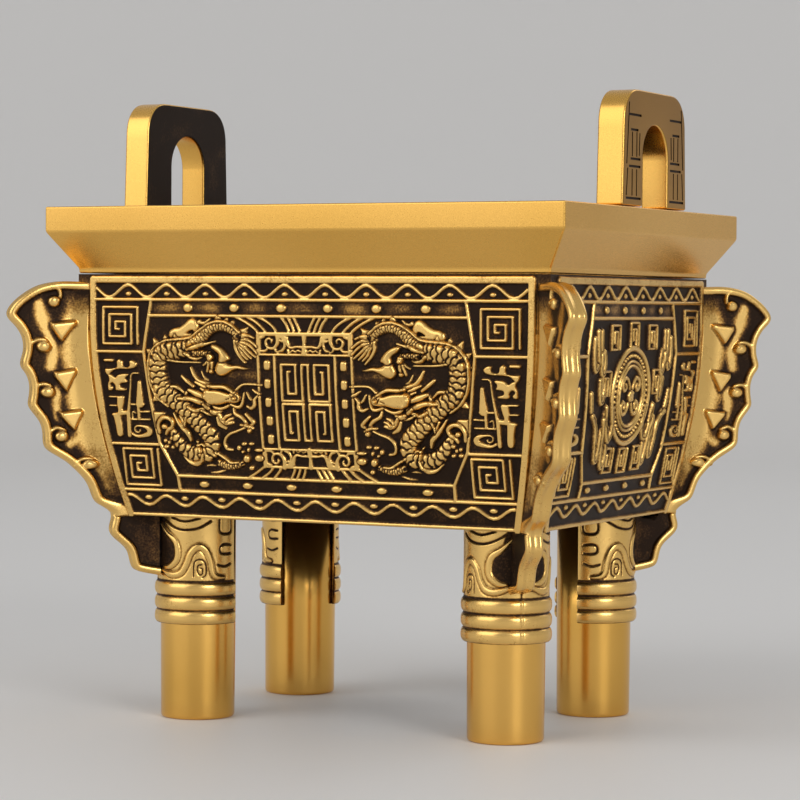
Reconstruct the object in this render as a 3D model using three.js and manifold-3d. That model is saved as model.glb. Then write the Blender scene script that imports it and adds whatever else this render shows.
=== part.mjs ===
// A square ding: a rectangular ritual vessel on four round legs, with two upright ears
// on its rim and a scalloped flange standing out from each corner.
// Millimetres, +Z up, the front towards -Y, the origin on the ground under the middle.

import * as THREE from 'three';
import { mergeVertices } from 'three/addons/utils/BufferGeometryUtils.js';
import Module from 'manifold-3d';

const wasm = await Module();
wasm.setup();

// Clearances between pieces
const seatGap = 0.3;
const boreGap = 0.3;
const mitreGap = 0.22;

// How far a cutting shape runs past what it cuts
const cutMargin = 1;

// Walls: outer half sizes at the top, and how far they draw in at the foot
const halfLength = 82.4;
const halfDepth = 64.05;
const wallHeight = 77.2;
const wallThickness = 3;
const straightHeight = 13.3;
const taperLength = 8.6;
const taperDepth = 9.9;
const taperPower = 1.9;
const wallSteps = 8;

// Rim collar
const rimOverhang = 7.75;
const rimFasciaHeight = 8;
const rimSlopeHeight = 11.6;
const neckHeight = 1.4;

// Ears
const earThickness = 8.9;
const earSetback = 0.8;
const earHeight = 35.9;
const earFootHalfWidth = 26.5;
const earTopHalfWidth = 25.5;
const earCornerRadius = 12;
const slotHalfWidth = 10.3;
const earBridge = 10.4;
const earPinRadius = 2;
const archSteps = 8;
const earPinHold = 9;
const earPinChamfer = 0.4;

// Legs and the ornamented sleeves round them
const legHeight = 65.8;
const legFootRadius = 11.95;
const legTopRadius = 12.15;
const legSetbackLength = 18.6;
const legSetbackDepth = 19.75;
const footChamfer = 0.8;
const sleeveHeight = 34.8;
const sleeveWall = 1.1;
const sleeveOpening = Math.PI / 2;
const ringCount = 3;
const ringHeight = 4.4;
const ringStandOut = 0.7;
const ringRootDepth = 0.5;
const legSides = 32;

// Floor and the screws that hold the legs
const floorThickness = 3;
const screwRadius = 2.2;
const screwHeadRadius = 4.2;
const screwHeadHeight = 2.6;
const screwHold = 14;
const screwSocketWidth = 3.4;
const screwSocketDepth = 1.5;
const screwSocketSides = 6;
const boltSides = 16;

// Corner flanges: reach out from the wall's upper corner, and drop below the floor
const flangeReach = 23.3;
const flangeDrop = 19.8;
const flangePlate = 3;
const flangeBead = 5.7;
const beadWidth = 2.5;

// Raised ornament on the walls
const reliefHeight = 1;
const lineWidth = 1;
const frameGap = 0.4;
const frameWidth = 2.8;
const frameRail = 1.5;
const frameTopMargin = 0.8;
const upperBandOuter = 8;
const upperBandInner = 13;
const lowerBandOuter = 8.7;
const lowerBandInner = 13.6;
const cellUpperDrop = 24.5;
const cellLowerRise = 23.4;

// The framed field in the middle of a long face, and its two scroll plates
const fieldHalfWidth = 16.4;
const fieldInnerHalfWidth = 10.4;
const fieldFoot = 17.5;
const fieldTop = 58.9;
const fieldPlate = 5.5;

// The round medallion in the middle of a short face
const medalRise = 39.9;
const medalRadius = 15.5;
const medalRingWidth = 1.6;
const medalInnerRadius = 11.3;
const medalInnerWidth = 0.8;
const medalSegments = 24;

// Set-back of the side columns' inner line on the long and short faces, top to foot
const longSetbacks = [27.4, 24.2, 24.9, 28.5, 27.6];
const shortSetbacks = [31.7, 27.4, 29.5, 32, 32];

// Worked out from the sizes above
const floorUnderside = legHeight + seatGap;
const wallTop = floorUnderside + wallHeight;
const rimFoot = wallTop + seatGap;
const rimTop = rimFoot + neckHeight + rimSlopeHeight + rimFasciaHeight;
const earFoot = rimTop + seatGap;
const frameMargin = flangeBead / Math.SQRT2 + frameGap;
const legX = halfLength - taperLength - legSetbackLength;
const legY = halfDepth - taperDepth - legSetbackDepth;
const sleeveInner = legTopRadius + seatGap;
const sleeveOuter = sleeveInner + sleeveWall;
const curveHeight = wallHeight - straightHeight;
const earX = halfLength + rimOverhang - earSetback - earThickness / 2;
const earPinY = (earFootHalfWidth + slotHalfWidth) / 2;
const corners = [[-1, -1], [1, -1], [-1, 1], [1, 1]];

const polished = { color: 0xc9973f, roughness: 0.32, metalness: 1 };
const antique = { color: 0x8a6427, roughness: 0.45, metalness: 1 };
const steel = { color: 0xb9b9b5, roughness: 0.35, metalness: 1 };

const model = new THREE.Group();

// How far the wall has drawn in at a height above the floor's underside, from 0 to 1
function drawIn(rise) {
  const below = Math.max(curveHeight - rise, 0) / curveHeight;
  return Math.pow(below, taperPower);
}

// A closed three.js geometry as a solid that can be cut and joined
function solidOf(geometry) {
  const bare = geometry.clone();
  bare.deleteAttribute('normal');
  bare.deleteAttribute('uv');
  const merged = mergeVertices(bare, 1e-4);
  return new wasm.Manifold(new wasm.Mesh({
    numProp: 3,
    vertProperties: new Float32Array(merged.attributes.position.array),
    triVerts: new Uint32Array(merged.index.array),
  }));
}

function geometryOf(solid) {
  const mesh = solid.getMesh();
  const geometry = new THREE.BufferGeometry();
  geometry.setAttribute('position', new THREE.BufferAttribute(mesh.vertProperties, mesh.numProp));
  geometry.setIndex(new THREE.BufferAttribute(mesh.triVerts, 1));
  geometry.computeVertexNormals();
  return geometry;
}

function addPiece(name, solid, finish, turn = 0, x = 0, y = 0) {
  const mesh = new THREE.Mesh(geometryOf(solid), new THREE.MeshStandardMaterial(finish));
  mesh.name = name;
  mesh.rotation.z = turn;
  mesh.position.set(x, y, 0);
  model.add(mesh);
}

function boxSolid(low, high) {
  const geometry = new THREE.BoxGeometry(high[0] - low[0], high[1] - low[1], high[2] - low[2]);
  geometry.translate((low[0] + high[0]) / 2, (low[1] + high[1]) / 2, (low[2] + high[2]) / 2);
  return solidOf(geometry);
}

// A turned piece about the Z axis, from [radius, height] points that start and end on the axis
function turned(profile, segments) {
  const points = profile.map(([radius, height]) => new THREE.Vector2(radius, height));
  const geometry = new THREE.LatheGeometry(points, segments);
  geometry.rotateX(Math.PI / 2);
  return solidOf(geometry);
}

function rod(radius, low, high, segments, x = 0, y = 0) {
  const geometry = new THREE.CylinderGeometry(radius, radius, high - low, segments);
  geometry.rotateX(Math.PI / 2);
  geometry.translate(x, y, (low + high) / 2);
  return solidOf(geometry);
}

function shapeOf(points) {
  return new THREE.Shape(points.map(([x, y]) => new THREE.Vector2(x, y)));
}

// An outline of [along, up] points, upright, made thick along the third direction
function uprightSolid(shape, thickness, along, origin) {
  const options = { depth: thickness, bevelEnabled: false, curveSegments: archSteps };
  const geometry = new THREE.ExtrudeGeometry(shape, options);
  const up = new THREE.Vector3(0, 0, 1);
  const out = new THREE.Vector3().crossVectors(along, up);
  geometry.translate(0, 0, -thickness / 2);
  geometry.applyMatrix4(new THREE.Matrix4().makeBasis(along, up, out).setPosition(origin));
  return solidOf(geometry);
}

// A strip of a given width on each side of a line of points
function ribbon(points, width) {
  const widthAt = typeof width === 'number' ? () => width : width;
  const count = points.length;
  const left = [];
  const right = [];
  for (let i = 0; i < count; i += 1) {
    const before = points[Math.max(i - 1, 0)];
    const after = points[Math.min(i + 1, count - 1)];
    const dx = after[0] - before[0];
    const dy = after[1] - before[1];
    const half = widthAt(i / (count - 1)) / 2 / Math.hypot(dx, dy);
    left.push([points[i][0] - dy * half, points[i][1] + dx * half]);
    right.push([points[i][0] + dy * half, points[i][1] - dx * half]);
  }
  return shapeOf(left.concat(right.reverse()));
}

// A smooth curve through a line of points, with about half as many points again
function smooth(points) {
  const curve = new THREE.SplineCurve(points.map(([x, y]) => new THREE.Vector2(x, y)));
  return curve.getPoints(Math.round(points.length * 1.5)).map((point) => [point.x, point.y]);
}

// Each face of the body, looked at from outside: half sizes, draw-in and outward direction
const longFace = { half: halfLength, reach: halfDepth, drawSide: taperLength, drawFace: taperDepth };
const shortFace = { half: halfDepth, reach: halfLength, drawSide: taperDepth, drawFace: taperLength };

// The wall's side profile as a bar, raised by a height above its outer surface
function wallBar(face, raise) {
  const outer = [];
  const inside = [];
  for (let i = 0; i <= wallSteps; i += 1) {
    const rise = i === 0 ? wallHeight : curveHeight * (1 - (i - 1) / (wallSteps - 1));
    const away = face.reach - face.drawFace * drawIn(rise);
    outer.push([away + raise, floorUnderside + rise]);
    inside.push([away - wallThickness, floorUnderside + rise]);
  }
  const length = 2 * (face.half + raise);
  const along = new THREE.Vector3(0, -1, 0);
  return uprightSolid(shapeOf(outer.concat(inside.reverse())), length, along, new THREE.Vector3());
}

// What keeps one wall between its two upright mitre planes
function mitreWedge(face) {
  const slope = face.drawFace / face.drawSide;
  const apex = face.half * slope - face.reach;
  const shift = mitreGap * Math.hypot(slope, 1);
  const far = 2 * (face.half + face.reach);
  const tip = apex - shift;
  const shape = shapeOf([[0, tip], [-far, tip - far * slope], [far, tip - far * slope]]);
  const geometry = new THREE.ExtrudeGeometry(shape, { depth: wallHeight * 2, bevelEnabled: false });
  geometry.translate(0, 0, floorUnderside - wallHeight / 2);
  return solidOf(geometry);
}

// Ornament outlines as [along, height] shapes, stood on the wall
function reliefOf(face, shapes) {
  const layers = shapes.map((shape) => uprightSolid(
    shape,
    2 * face.reach,
    new THREE.Vector3(1, 0, 0),
    new THREE.Vector3(0, -face.reach, 0),
  ));
  return wasm.Manifold.union(layers).intersect(wallBar(face, reliefHeight));
}

function edgeAt(face, height) {
  return face.half - face.drawSide * drawIn(height - floorUnderside);
}

function heightsBetween(low, high, steps) {
  return Array.from({ length: steps + 1 }, (_, i) => low + (high - low) * i / steps);
}

function frameShape(face) {
  const bottom = floorUnderside;
  const top = wallTop - frameTopMargin;
  const outline = (margin, low, high) => {
    const right = heightsBetween(low, high, wallSteps).map((z) => [edgeAt(face, z) - margin, z]);
    const left = right.map(([x, z]) => [-x, z]).reverse();
    return right.concat(left);
  };
  const shape = shapeOf(outline(frameMargin, bottom, top));
  shape.holes.push(shapeOf(outline(frameMargin + frameWidth, bottom + frameRail, top - frameRail)));
  return shape;
}

function bandLine(face, height) {
  const half = edgeAt(face, height) - frameMargin - frameWidth / 2;
  return ribbon([[-half, height], [half, height]], lineWidth);
}

// The line that closes the side columns off: set back from the edge by four amounts, top to foot
function dividerLine(face, setbacks, side) {
  const heights = [wallTop - upperBandOuter, wallTop - cellUpperDrop, floorUnderside + cellLowerRise,
    floorUnderside + lowerBandInner, floorUnderside + lowerBandOuter];
  return ribbon(heights.map((z, i) => [side * (edgeAt(face, z) - setbacks[i]), z]), lineWidth);
}

function cellLine(face, height, setback, side) {
  const outer = side * (edgeAt(face, height) - frameMargin - frameWidth / 2);
  const inner = side * (edgeAt(face, height) - setback);
  return ribbon([[inner, height], [outer, height]], lineWidth);
}

function commonShapes(face, setbacks) {
  const shapes = [frameShape(face)];
  const bands = [wallTop - upperBandOuter, wallTop - upperBandInner,
    floorUnderside + lowerBandInner, floorUnderside + lowerBandOuter];
  for (const height of bands) {
    shapes.push(bandLine(face, height));
  }
  for (const side of [-1, 1]) {
    shapes.push(dividerLine(face, setbacks, side));
    shapes.push(cellLine(face, wallTop - cellUpperDrop, setbacks[1], side));
    shapes.push(cellLine(face, floorUnderside + cellLowerRise, setbacks[2], side));
  }
  return shapes;
}


function centreField() {
  const low = floorUnderside + fieldFoot;
  const high = floorUnderside + fieldTop;
  const shapes = [];
  for (const side of [-1, 1]) {
    shapes.push(ribbon([[side * fieldHalfWidth, low], [side * fieldHalfWidth, high]], lineWidth));
    shapes.push(ribbon([[side * fieldInnerHalfWidth, low], [side * fieldInnerHalfWidth, high]], lineWidth));
  }
  for (const middle of [low + fieldPlate / 2, high - fieldPlate / 2]) {
    shapes.push(ribbon([[-fieldHalfWidth, middle], [fieldHalfWidth, middle]], fieldPlate));
  }
  return shapes;
}

// The dragon on the left of a long face: the line of its back from tail to neck,
// as [along, rise above the floor's underside], and its widths along that line
const dragonBack = [[-24, 58.4], [-31, 61.7], [-38, 58.4], [-45, 54.9], [-52, 52], [-55.5, 46.9], [-53, 41.5],
  [-47, 36.9], [-40, 31.4], [-35, 25.9], [-36, 20.9], [-41, 20.4], [-48.5, 26.4]];
const dragonWidths = [2.5, 3.5, 6.5, 7, 6, 5.5, 3.5];

function dragonShape(side) {
  const line = smooth(dragonBack).map(([x, rise]) => [side * x, floorUnderside + rise]);
  const width = (share) => {
    const place = share * (dragonWidths.length - 1);
    const index = Math.min(Math.floor(place), dragonWidths.length - 2);
    return THREE.MathUtils.lerp(dragonWidths[index], dragonWidths[index + 1], place - index);
  };
  return ribbon(line, width);
}

// The dragon's head, facing the middle of the face, above the paw that holds the pearl
const dragonHead = [[-45, 45], [-38, 44], [-33, 42.8], [-25, 41], [-24.5, 37.4], [-31, 35], [-37, 34.5],
  [-42, 38]];

function dragonHeadShape(side) {
  return shapeOf(dragonHead.map(([x, rise]) => [side * x, floorUnderside + rise]));
}


function ringShape(radius, width) {
  const centre = floorUnderside + medalRise;
  const circle = (r) => Array.from({ length: medalSegments }, (_, i) => {
    const angle = 2 * Math.PI * i / medalSegments;
    return [r * Math.cos(angle), centre + r * Math.sin(angle)];
  });
  const shape = shapeOf(circle(radius));
  shape.holes.push(shapeOf(circle(radius - width)));
  return shape;
}


function wallSolid(face, shapes) {
  const body = wallBar(face, 0).add(reliefOf(face, shapes));
  return body.intersect(mitreWedge(face));
}

function buildWalls() {
  const longShapes = commonShapes(longFace, longSetbacks).concat(centreField());
  for (const side of [-1, 1]) {
    longShapes.push(dragonShape(side));
    longShapes.push(dragonHeadShape(side));
  }
  const shortShapes = commonShapes(shortFace, shortSetbacks);
  shortShapes.push(ringShape(medalRadius, medalRingWidth));
  shortShapes.push(ringShape(medalInnerRadius, medalInnerWidth));
  const longWall = wallSolid(longFace, longShapes);
  const shortWall = wallSolid(shortFace, shortShapes);
  addPiece('front_wall', longWall, antique);
  addPiece('right_wall', shortWall, antique, Math.PI / 2);
  addPiece('back_wall', longWall, antique, Math.PI);
  addPiece('left_wall', shortWall, antique, -Math.PI / 2);
}

function floorHalf(half, taper) {
  return half - taper - wallThickness - seatGap;
}

function buildFloor() {
  const x = floorHalf(halfLength, taperLength);
  const y = floorHalf(halfDepth, taperDepth);
  let plate = boxSolid([-x, -y, floorUnderside], [x, y, floorUnderside + floorThickness]);
  for (const [sx, sy] of corners) {
    const low = floorUnderside - cutMargin;
    const high = floorUnderside + floorThickness + cutMargin;
    plate = plate.subtract(rod(screwRadius + boreGap, low, high, boltSides, sx * legX, sy * legY));
  }
  addPiece('floor_plate', plate, antique);
}

// The rim: a rectangle whose bevel is the slope, its upper half cut away above the fascia
function buildRim() {
  const outline = shapeOf([[-halfLength, -halfDepth], [halfLength, -halfDepth],
    [halfLength, halfDepth], [-halfLength, halfDepth]]);
  const geometry = new THREE.ExtrudeGeometry(outline, {
    depth: rimFasciaHeight + rimSlopeHeight,
    bevelThickness: rimSlopeHeight,
    bevelSize: rimOverhang,
    bevelSegments: 1,
  });
  geometry.translate(0, 0, rimFoot + neckHeight + rimSlopeHeight);
  const far = 2 * halfLength;
  const innerX = halfLength - wallThickness;
  const innerY = halfDepth - wallThickness;
  const slopeFoot = rimFoot + neckHeight;
  let rim = solidOf(geometry);
  const neck = boxSolid([-halfLength, -halfDepth, rimFoot], [halfLength, halfDepth, slopeFoot + seatGap]);
  const above = boxSolid([-far, -far, rimTop], [far, far, rimTop + far]);
  const mouth = boxSolid([-innerX, -innerY, rimFoot - cutMargin], [innerX, innerY, rimTop + cutMargin]);
  rim = rim.add(neck).subtract(above).subtract(mouth);
  for (const [sx, sy] of corners) {
    const low = rimTop - earPinHold - boreGap;
    const high = rimTop + cutMargin;
    rim = rim.subtract(rod(earPinRadius + boreGap, low, high, boltSides, sx * earX, sy * earPinY));
  }
  addPiece('rim_collar', rim, polished);
}


function earSolid() {
  const top = earFoot + earHeight;
  const slotTop = top - earBridge - slotHalfWidth;
  const shape = new THREE.Shape();
  shape.moveTo(slotHalfWidth, earFoot);
  shape.lineTo(earFootHalfWidth, earFoot);
  shape.lineTo(earTopHalfWidth, top - earCornerRadius);
  shape.quadraticCurveTo(earTopHalfWidth, top, earTopHalfWidth - earCornerRadius, top);
  shape.lineTo(earCornerRadius - earTopHalfWidth, top);
  shape.quadraticCurveTo(-earTopHalfWidth, top, -earTopHalfWidth, top - earCornerRadius);
  shape.lineTo(-earFootHalfWidth, earFoot);
  shape.lineTo(-slotHalfWidth, earFoot);
  shape.lineTo(-slotHalfWidth, slotTop);
  shape.absarc(0, slotTop, slotHalfWidth, Math.PI, 0, true);
  shape.lineTo(slotHalfWidth, earFoot);
  let ear = uprightSolid(shape, earThickness, new THREE.Vector3(0, 1, 0), new THREE.Vector3());
  for (const side of [-1, 1]) {
    const low = earFoot - cutMargin;
    const high = earFoot + earPinHold + boreGap;
    ear = ear.subtract(rod(earPinRadius + boreGap, low, high, boltSides, 0, side * earPinY));
  }
  return ear;
}

function buildEars() {
  const ear = earSolid();
  const low = rimTop - earPinHold;
  const high = earFoot + earPinHold;
  const inset = earPinRadius - earPinChamfer;
  const pin = turned([[0, low], [inset, low], [earPinRadius, low + earPinChamfer],
    [earPinRadius, high - earPinChamfer], [inset, high], [0, high]], boltSides);
  for (const side of [-1, 1]) {
    const name = side < 0 ? 'left' : 'right';
    addPiece(`${name}_ear`, ear, polished, 0, side * earX);
    addPiece(`ear_pin_${name}_front`, pin, steel, 0, side * earX, -earPinY);
    addPiece(`ear_pin_${name}_back`, pin, steel, 0, side * earX, earPinY);
  }
}


function cornerName(sx, sy) {
  return `${sy < 0 ? 'front' : 'back'}_${sx < 0 ? 'left' : 'right'}`;
}

function legSolid() {
  const sleeveFoot = legHeight - sleeveHeight;
  const bore = screwRadius + boreGap;
  const boreFoot = legHeight - screwHold - boreGap;
  const profile = [[0, 0], [legFootRadius - footChamfer, 0], [legFootRadius, footChamfer],
    [legTopRadius, sleeveFoot], [legTopRadius, legHeight],
    [bore, legHeight], [bore, boreFoot], [0, boreFoot]];
  return turned(profile, legSides);
}

// The sleeve's outer side: rounded rings at its foot, then the plain field that carries the ornament
function sleeveProfile() {
  const foot = legHeight - sleeveHeight;
  const points = [[sleeveInner, foot]];
  for (let i = 0; i < ringCount; i += 1) {
    const low = foot + i * ringHeight;
    points.push([sleeveOuter + ringStandOut - ringRootDepth, low]);
    points.push([sleeveOuter + ringStandOut, low + ringHeight * 0.25]);
    points.push([sleeveOuter + ringStandOut, low + ringHeight * 0.75]);
    points.push([sleeveOuter + ringStandOut - ringRootDepth, low + ringHeight]);
  }
  points.push([sleeveOuter, foot + ringCount * ringHeight]);
  points.push([sleeveOuter, legHeight]);
  points.push([sleeveInner, legHeight]);
  return points;
}

function sleeveSolid() {
  const profile = sleeveProfile();
  const outer = turned([[0, profile[0][1]], ...profile.slice(1, -1), [0, legHeight]], legSides);
  const inner = rod(sleeveInner, -cutMargin, legHeight + cutMargin, legSides);
  const far = 3 * sleeveOuter;
  const half = sleeveOpening / 2;
  const wedge = shapeOf([[0, 0], [-far * Math.cos(half), far * Math.sin(half)],
    [-far * Math.cos(half), -far * Math.sin(half)]]);
  const geometry = new THREE.ExtrudeGeometry(wedge, { depth: 2 * legHeight, bevelEnabled: false });
  return outer.subtract(inner).subtract(solidOf(geometry));
}

function buildLegs() {
  const leg = legSolid();
  const sleeve = sleeveSolid();
  const seat = floorUnderside + floorThickness + seatGap;
  const top = seat + screwHeadHeight;
  let screw = turned([[0, legHeight - screwHold], [screwRadius, legHeight - screwHold], [screwRadius, seat],
    [screwHeadRadius, seat], [screwHeadRadius, top], [0, top]], boltSides);
  const socketRadius = screwSocketWidth / Math.sqrt(3);
  screw = screw.subtract(rod(socketRadius, top - screwSocketDepth, top + cutMargin, screwSocketSides));
  for (const [sx, sy] of corners) {
    const name = cornerName(sx, sy);
    const outward = Math.atan2(sy, sx);
    addPiece(`leg_${name}`, leg, polished, 0, sx * legX, sy * legY);
    addPiece(`sleeve_${name}`, sleeve, antique, outward, sx * legX, sy * legY);
    addPiece(`leg_screw_${name}`, screw, steel, 0, sx * legX, sy * legY);
  }
}

// The flange's outer edge from the top corner down to its foot: [share of the reach, share of
// the wall's height], measured from the wall's upper corner and the floor's underside
const flangeEdge = [[-0.12, 0.966], [0.17, 0.97], [0.386, 0.965], [0.6, 0.947], [0.815, 0.905],
  [0.944, 0.867], [0.995, 0.834], [0.86, 0.782], [0.77, 0.735], [0.755, 0.685], [0.8, 0.64], [0.798, 0.617],
  [0.72, 0.588], [0.67, 0.543], [0.678, 0.491], [0.695, 0.458], [0.622, 0.426], [0.524, 0.387],
  [0.485, 0.342], [0.48, 0.296],
  [0.42, 0.271], [0.17, 0.225], [0, 0.18], [-0.13, 0.135], [-0.206, 0.076], [-0.258, 0.051], [-0.386, 0.028],
  [-0.48, 0]];

// The tail below the floor: [share of the reach, share of the drop]
const flangeTail = [[-0.45, 0.157], [-0.442, 0.258], [-0.494, 0.359], [-0.644, 0.51], [-0.708, 0.611],
  [-0.751, 0.813], [-0.815, 0.914], [-1.2, 1]];

// Raised points on both faces of a flange: the top edge's two ends and the lower point
const flangePoints = [[[0.04, 0.802], [0.43, 0.802], [0.258, 0.718]], [[0.04, 0.601], [0.386, 0.601],
  [0.172, 0.523]], [[-0.056, 0.433], [0.28, 0.433], [0.064, 0.361]]];

// The bead's middle line: the flange's edge, drawn in by half the bead's width
function flangeLine() {
  const upper = flangeEdge.map(([out, rise]) => [out * flangeReach, floorUnderside + rise * wallHeight]);
  const lower = flangeTail.map(([out, drop]) => [out * flangeReach, floorUnderside - drop * flangeDrop]);
  const edge = upper.concat(lower);
  return edge.map(([x, y], i) => {
    const before = edge[Math.max(i - 1, 0)];
    const after = edge[Math.min(i + 1, edge.length - 1)];
    const run = Math.hypot(after[0] - before[0], after[1] - before[1]);
    const shift = beadWidth / 2 / run;
    return [x + (after[1] - before[1]) * shift, y - (after[0] - before[0]) * shift];
  });
}

// The whole body from side to side, raised by the seat gap, as seen along one face
function bodyPrism(face, along) {
  const right = heightsBetween(0, wallHeight, wallSteps).map((rise) => {
    const away = face.reach - face.drawFace * drawIn(rise) + seatGap;
    return [away, floorUnderside + rise];
  });
  const foot = floorUnderside - seatGap;
  const half = [[right[0][0], foot], ...right, [right[wallSteps][0], rimTop]];
  const left = half.map(([x, z]) => [-x, z]).reverse();
  const length = 2 * (face.half + cutMargin);
  return uprightSolid(shapeOf(half.concat(left)), length, along, new THREE.Vector3());
}

function bodyEnvelope() {
  const acrossDepth = bodyPrism(longFace, new THREE.Vector3(0, 1, 0));
  return acrossDepth.intersect(bodyPrism(shortFace, new THREE.Vector3(1, 0, 0)));
}

function buildFlanges() {
  const body = bodyEnvelope();
  const line = flangeLine();
  const inward = -Math.hypot(halfLength - legX, halfDepth - legY);
  const root = [inward, line[line.length - 1][1]];
  const shoulder = [inward, line[0][1]];
  const plate = shapeOf(line.concat([root, shoulder]));
  const bead = ribbon(line, beadWidth);
  for (const [sx, sy] of corners) {
    const outward = new THREE.Vector3(sx, sy, 0).normalize();
    const origin = new THREE.Vector3(sx * halfLength, sy * halfDepth, 0);
    let flange = uprightSolid(plate, flangePlate, outward, origin);
    flange = flange.add(uprightSolid(bead, flangeBead, outward, origin));
    for (const point of flangePoints) {
      const outline = point.map(([out, rise]) => [out * flangeReach, floorUnderside + rise * wallHeight]);
      flange = flange.add(uprightSolid(shapeOf(outline), flangePlate + 2 * reliefHeight, outward, origin));
    }
    const low = -cutMargin;
    const high = legHeight + cutMargin;
    const leg = rod(sleeveOuter + seatGap, low, high, legSides, sx * legX, sy * legY);
    const parts = flange.subtract(body).subtract(leg).decompose();
    parts.sort((a, b) => b.volume() - a.volume());
    addPiece(`flange_${cornerName(sx, sy)}`, parts[0], antique);
  }
}

buildWalls();
buildFloor();
buildRim();
buildEars();
buildLegs();
buildFlanges();

export default model;
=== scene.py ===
"""A square ding: a rectangular ritual vessel with two ears, corner flanges and four round legs.

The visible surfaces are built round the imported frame, in metres, +Z up, the front towards -Y.
Ornament is worked in millimetres as heights over flat fields, and each field is then laid on
its curved wall, its round sleeve or its flange.
"""
import logging
import math
from dataclasses import dataclass
from enum import Enum
from typing import Callable, Sequence

import bmesh
import bpy
import numpy as np
from mathutils import Matrix, Vector


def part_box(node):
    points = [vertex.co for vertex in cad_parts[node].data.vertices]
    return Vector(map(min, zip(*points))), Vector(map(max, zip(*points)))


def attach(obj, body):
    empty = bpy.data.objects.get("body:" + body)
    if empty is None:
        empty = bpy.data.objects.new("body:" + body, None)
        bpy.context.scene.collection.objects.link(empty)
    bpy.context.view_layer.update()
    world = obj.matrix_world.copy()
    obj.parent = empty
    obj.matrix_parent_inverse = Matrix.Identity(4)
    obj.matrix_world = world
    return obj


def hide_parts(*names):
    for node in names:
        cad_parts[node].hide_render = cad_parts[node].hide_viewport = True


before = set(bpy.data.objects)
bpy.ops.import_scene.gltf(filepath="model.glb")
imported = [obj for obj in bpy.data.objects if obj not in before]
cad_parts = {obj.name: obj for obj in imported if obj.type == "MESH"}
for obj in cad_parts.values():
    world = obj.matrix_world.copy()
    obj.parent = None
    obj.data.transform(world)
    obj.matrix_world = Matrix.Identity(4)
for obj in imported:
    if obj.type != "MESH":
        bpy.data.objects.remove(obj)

LOG = logging.getLogger("ding")
MM = 0.001
TINY = 1e-9
NEAR = 1e-5
BACK_WEAR = 0.35

Point = tuple[float, float]
Line = Sequence[Point]
Amount = float | Sequence[float]


class Section(Enum):
    """How a raised strip is shaped across its width."""

    ROUND = "round"
    FLAT = "flat"


def smoothstep(value: np.ndarray) -> np.ndarray:
    """Eases a share between 0 and 1."""
    clipped = np.clip(value, 0.0, 1.0)
    return clipped * clipped * (3.0 - 2.0 * clipped)


def blurred(values: np.ndarray) -> np.ndarray:
    """Evens a grid out over each cell and its neighbours."""
    p = np.pad(values, 1, mode="edge")
    rows = (p[:-2] + 2.0 * p[1:-1] + p[2:]) / 4.0
    return (rows[:, :-2] + 2.0 * rows[:, 1:-1] + rows[:, 2:]) / 4.0


def fine_grid(rows: int, cols: int) -> tuple[np.ndarray, np.ndarray]:
    """Gives the shares up, 0 to 1, and across, -1 to 1, of a grid with twice as many cells each way."""
    up = np.repeat(np.linspace(0, 1, 2 * rows - 1)[:, None], 2 * cols - 1, axis=1)
    across = np.repeat(np.linspace(-1, 1, 2 * cols - 1)[None, :], 2 * rows - 1, axis=0)
    return up, across


def spread(amount: Amount, count: int) -> np.ndarray:
    """Spreads one amount, or a few along a line, over all of the line's points.

    Args:
        amount: One number, or numbers evenly spaced along the line.
        count: The number of points in the line.

    Returns:
        One number for each point.
    """
    values = np.atleast_1d(np.asarray(amount, float))
    return np.interp(np.linspace(0, 1, count), np.linspace(0, 1, len(values)), values)


def curve_through(points: Line, steps: int = 6) -> list[Point]:
    """Rounds a line of points off, as a Catmull-Rom curve through them.

    Args:
        points: The points that the curve passes through.
        steps: How many short stretches each span is divided into.

    Returns:
        The points of the rounded line.
    """
    pts = np.asarray(points, float)
    padded = np.vstack([2 * pts[0] - pts[1], pts, 2 * pts[-1] - pts[-2]])
    made = []
    for k in range(1, len(padded) - 2):
        a, b, c, d = padded[k - 1:k + 3]
        for t in np.arange(steps) / steps:
            made.append(0.5 * (2 * b + (c - a) * t + (2 * a - 5 * b + 4 * c - d) * t ** 2
                               + (3 * b - a - 3 * c + d) * t ** 3))
    made.append(pts[-1])
    return [(float(x), float(z)) for x, z in made]


def evened(points: Line, step: float, passes: int) -> np.ndarray:
    """Spaces a line's points evenly and rounds its corners off, its ends kept.

    Args:
        points: The line.
        step: The distance from one new point to the next.
        passes: How many times each point is moved towards its neighbours.

    Returns:
        The new points, one per row.
    """
    pts = np.asarray(points, float)
    run = np.concatenate([[0.0], np.cumsum(np.hypot(*np.diff(pts, axis=0).T))])
    at = np.linspace(0.0, run[-1], int(run[-1] / step) + 1)
    even = np.stack([np.interp(at, run, pts[:, k]) for k in (0, 1)], axis=1)
    for _ in range(passes):
        even[1:-1] = (even[:-2] + 2.0 * even[1:-1] + even[2:]) / 4.0
    return even


def mirrored(points: Line, side: int) -> list[Point]:
    """Gives a line's points on one side of the middle, -1 as drawn or +1 mirrored."""
    return [(-side * x, z) for x, z in points]


def gap_to(x: np.ndarray, z: np.ndarray, start: Point, end: Point) -> np.ndarray:
    """Gives how far places lie from a straight stretch."""
    dx, dz = end[0] - start[0], end[1] - start[1]
    along = np.clip(((x - start[0]) * dx + (z - start[1]) * dz) / max(dx * dx + dz * dz, TINY), 0.0, 1.0)
    return np.hypot(x - start[0] - along * dx, z - start[1] - along * dz)


@dataclass
class Trace:
    """What the cells near a line know of it.

    The share is each cell's distance as a share of the line's half width, gap is that distance,
    top the line's height there, run how far along it the cell lies, and side how far beside it.
    """

    window: tuple[slice, slice]
    share: np.ndarray
    gap: np.ndarray
    half: np.ndarray
    top: np.ndarray
    run: np.ndarray
    side: np.ndarray


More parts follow.
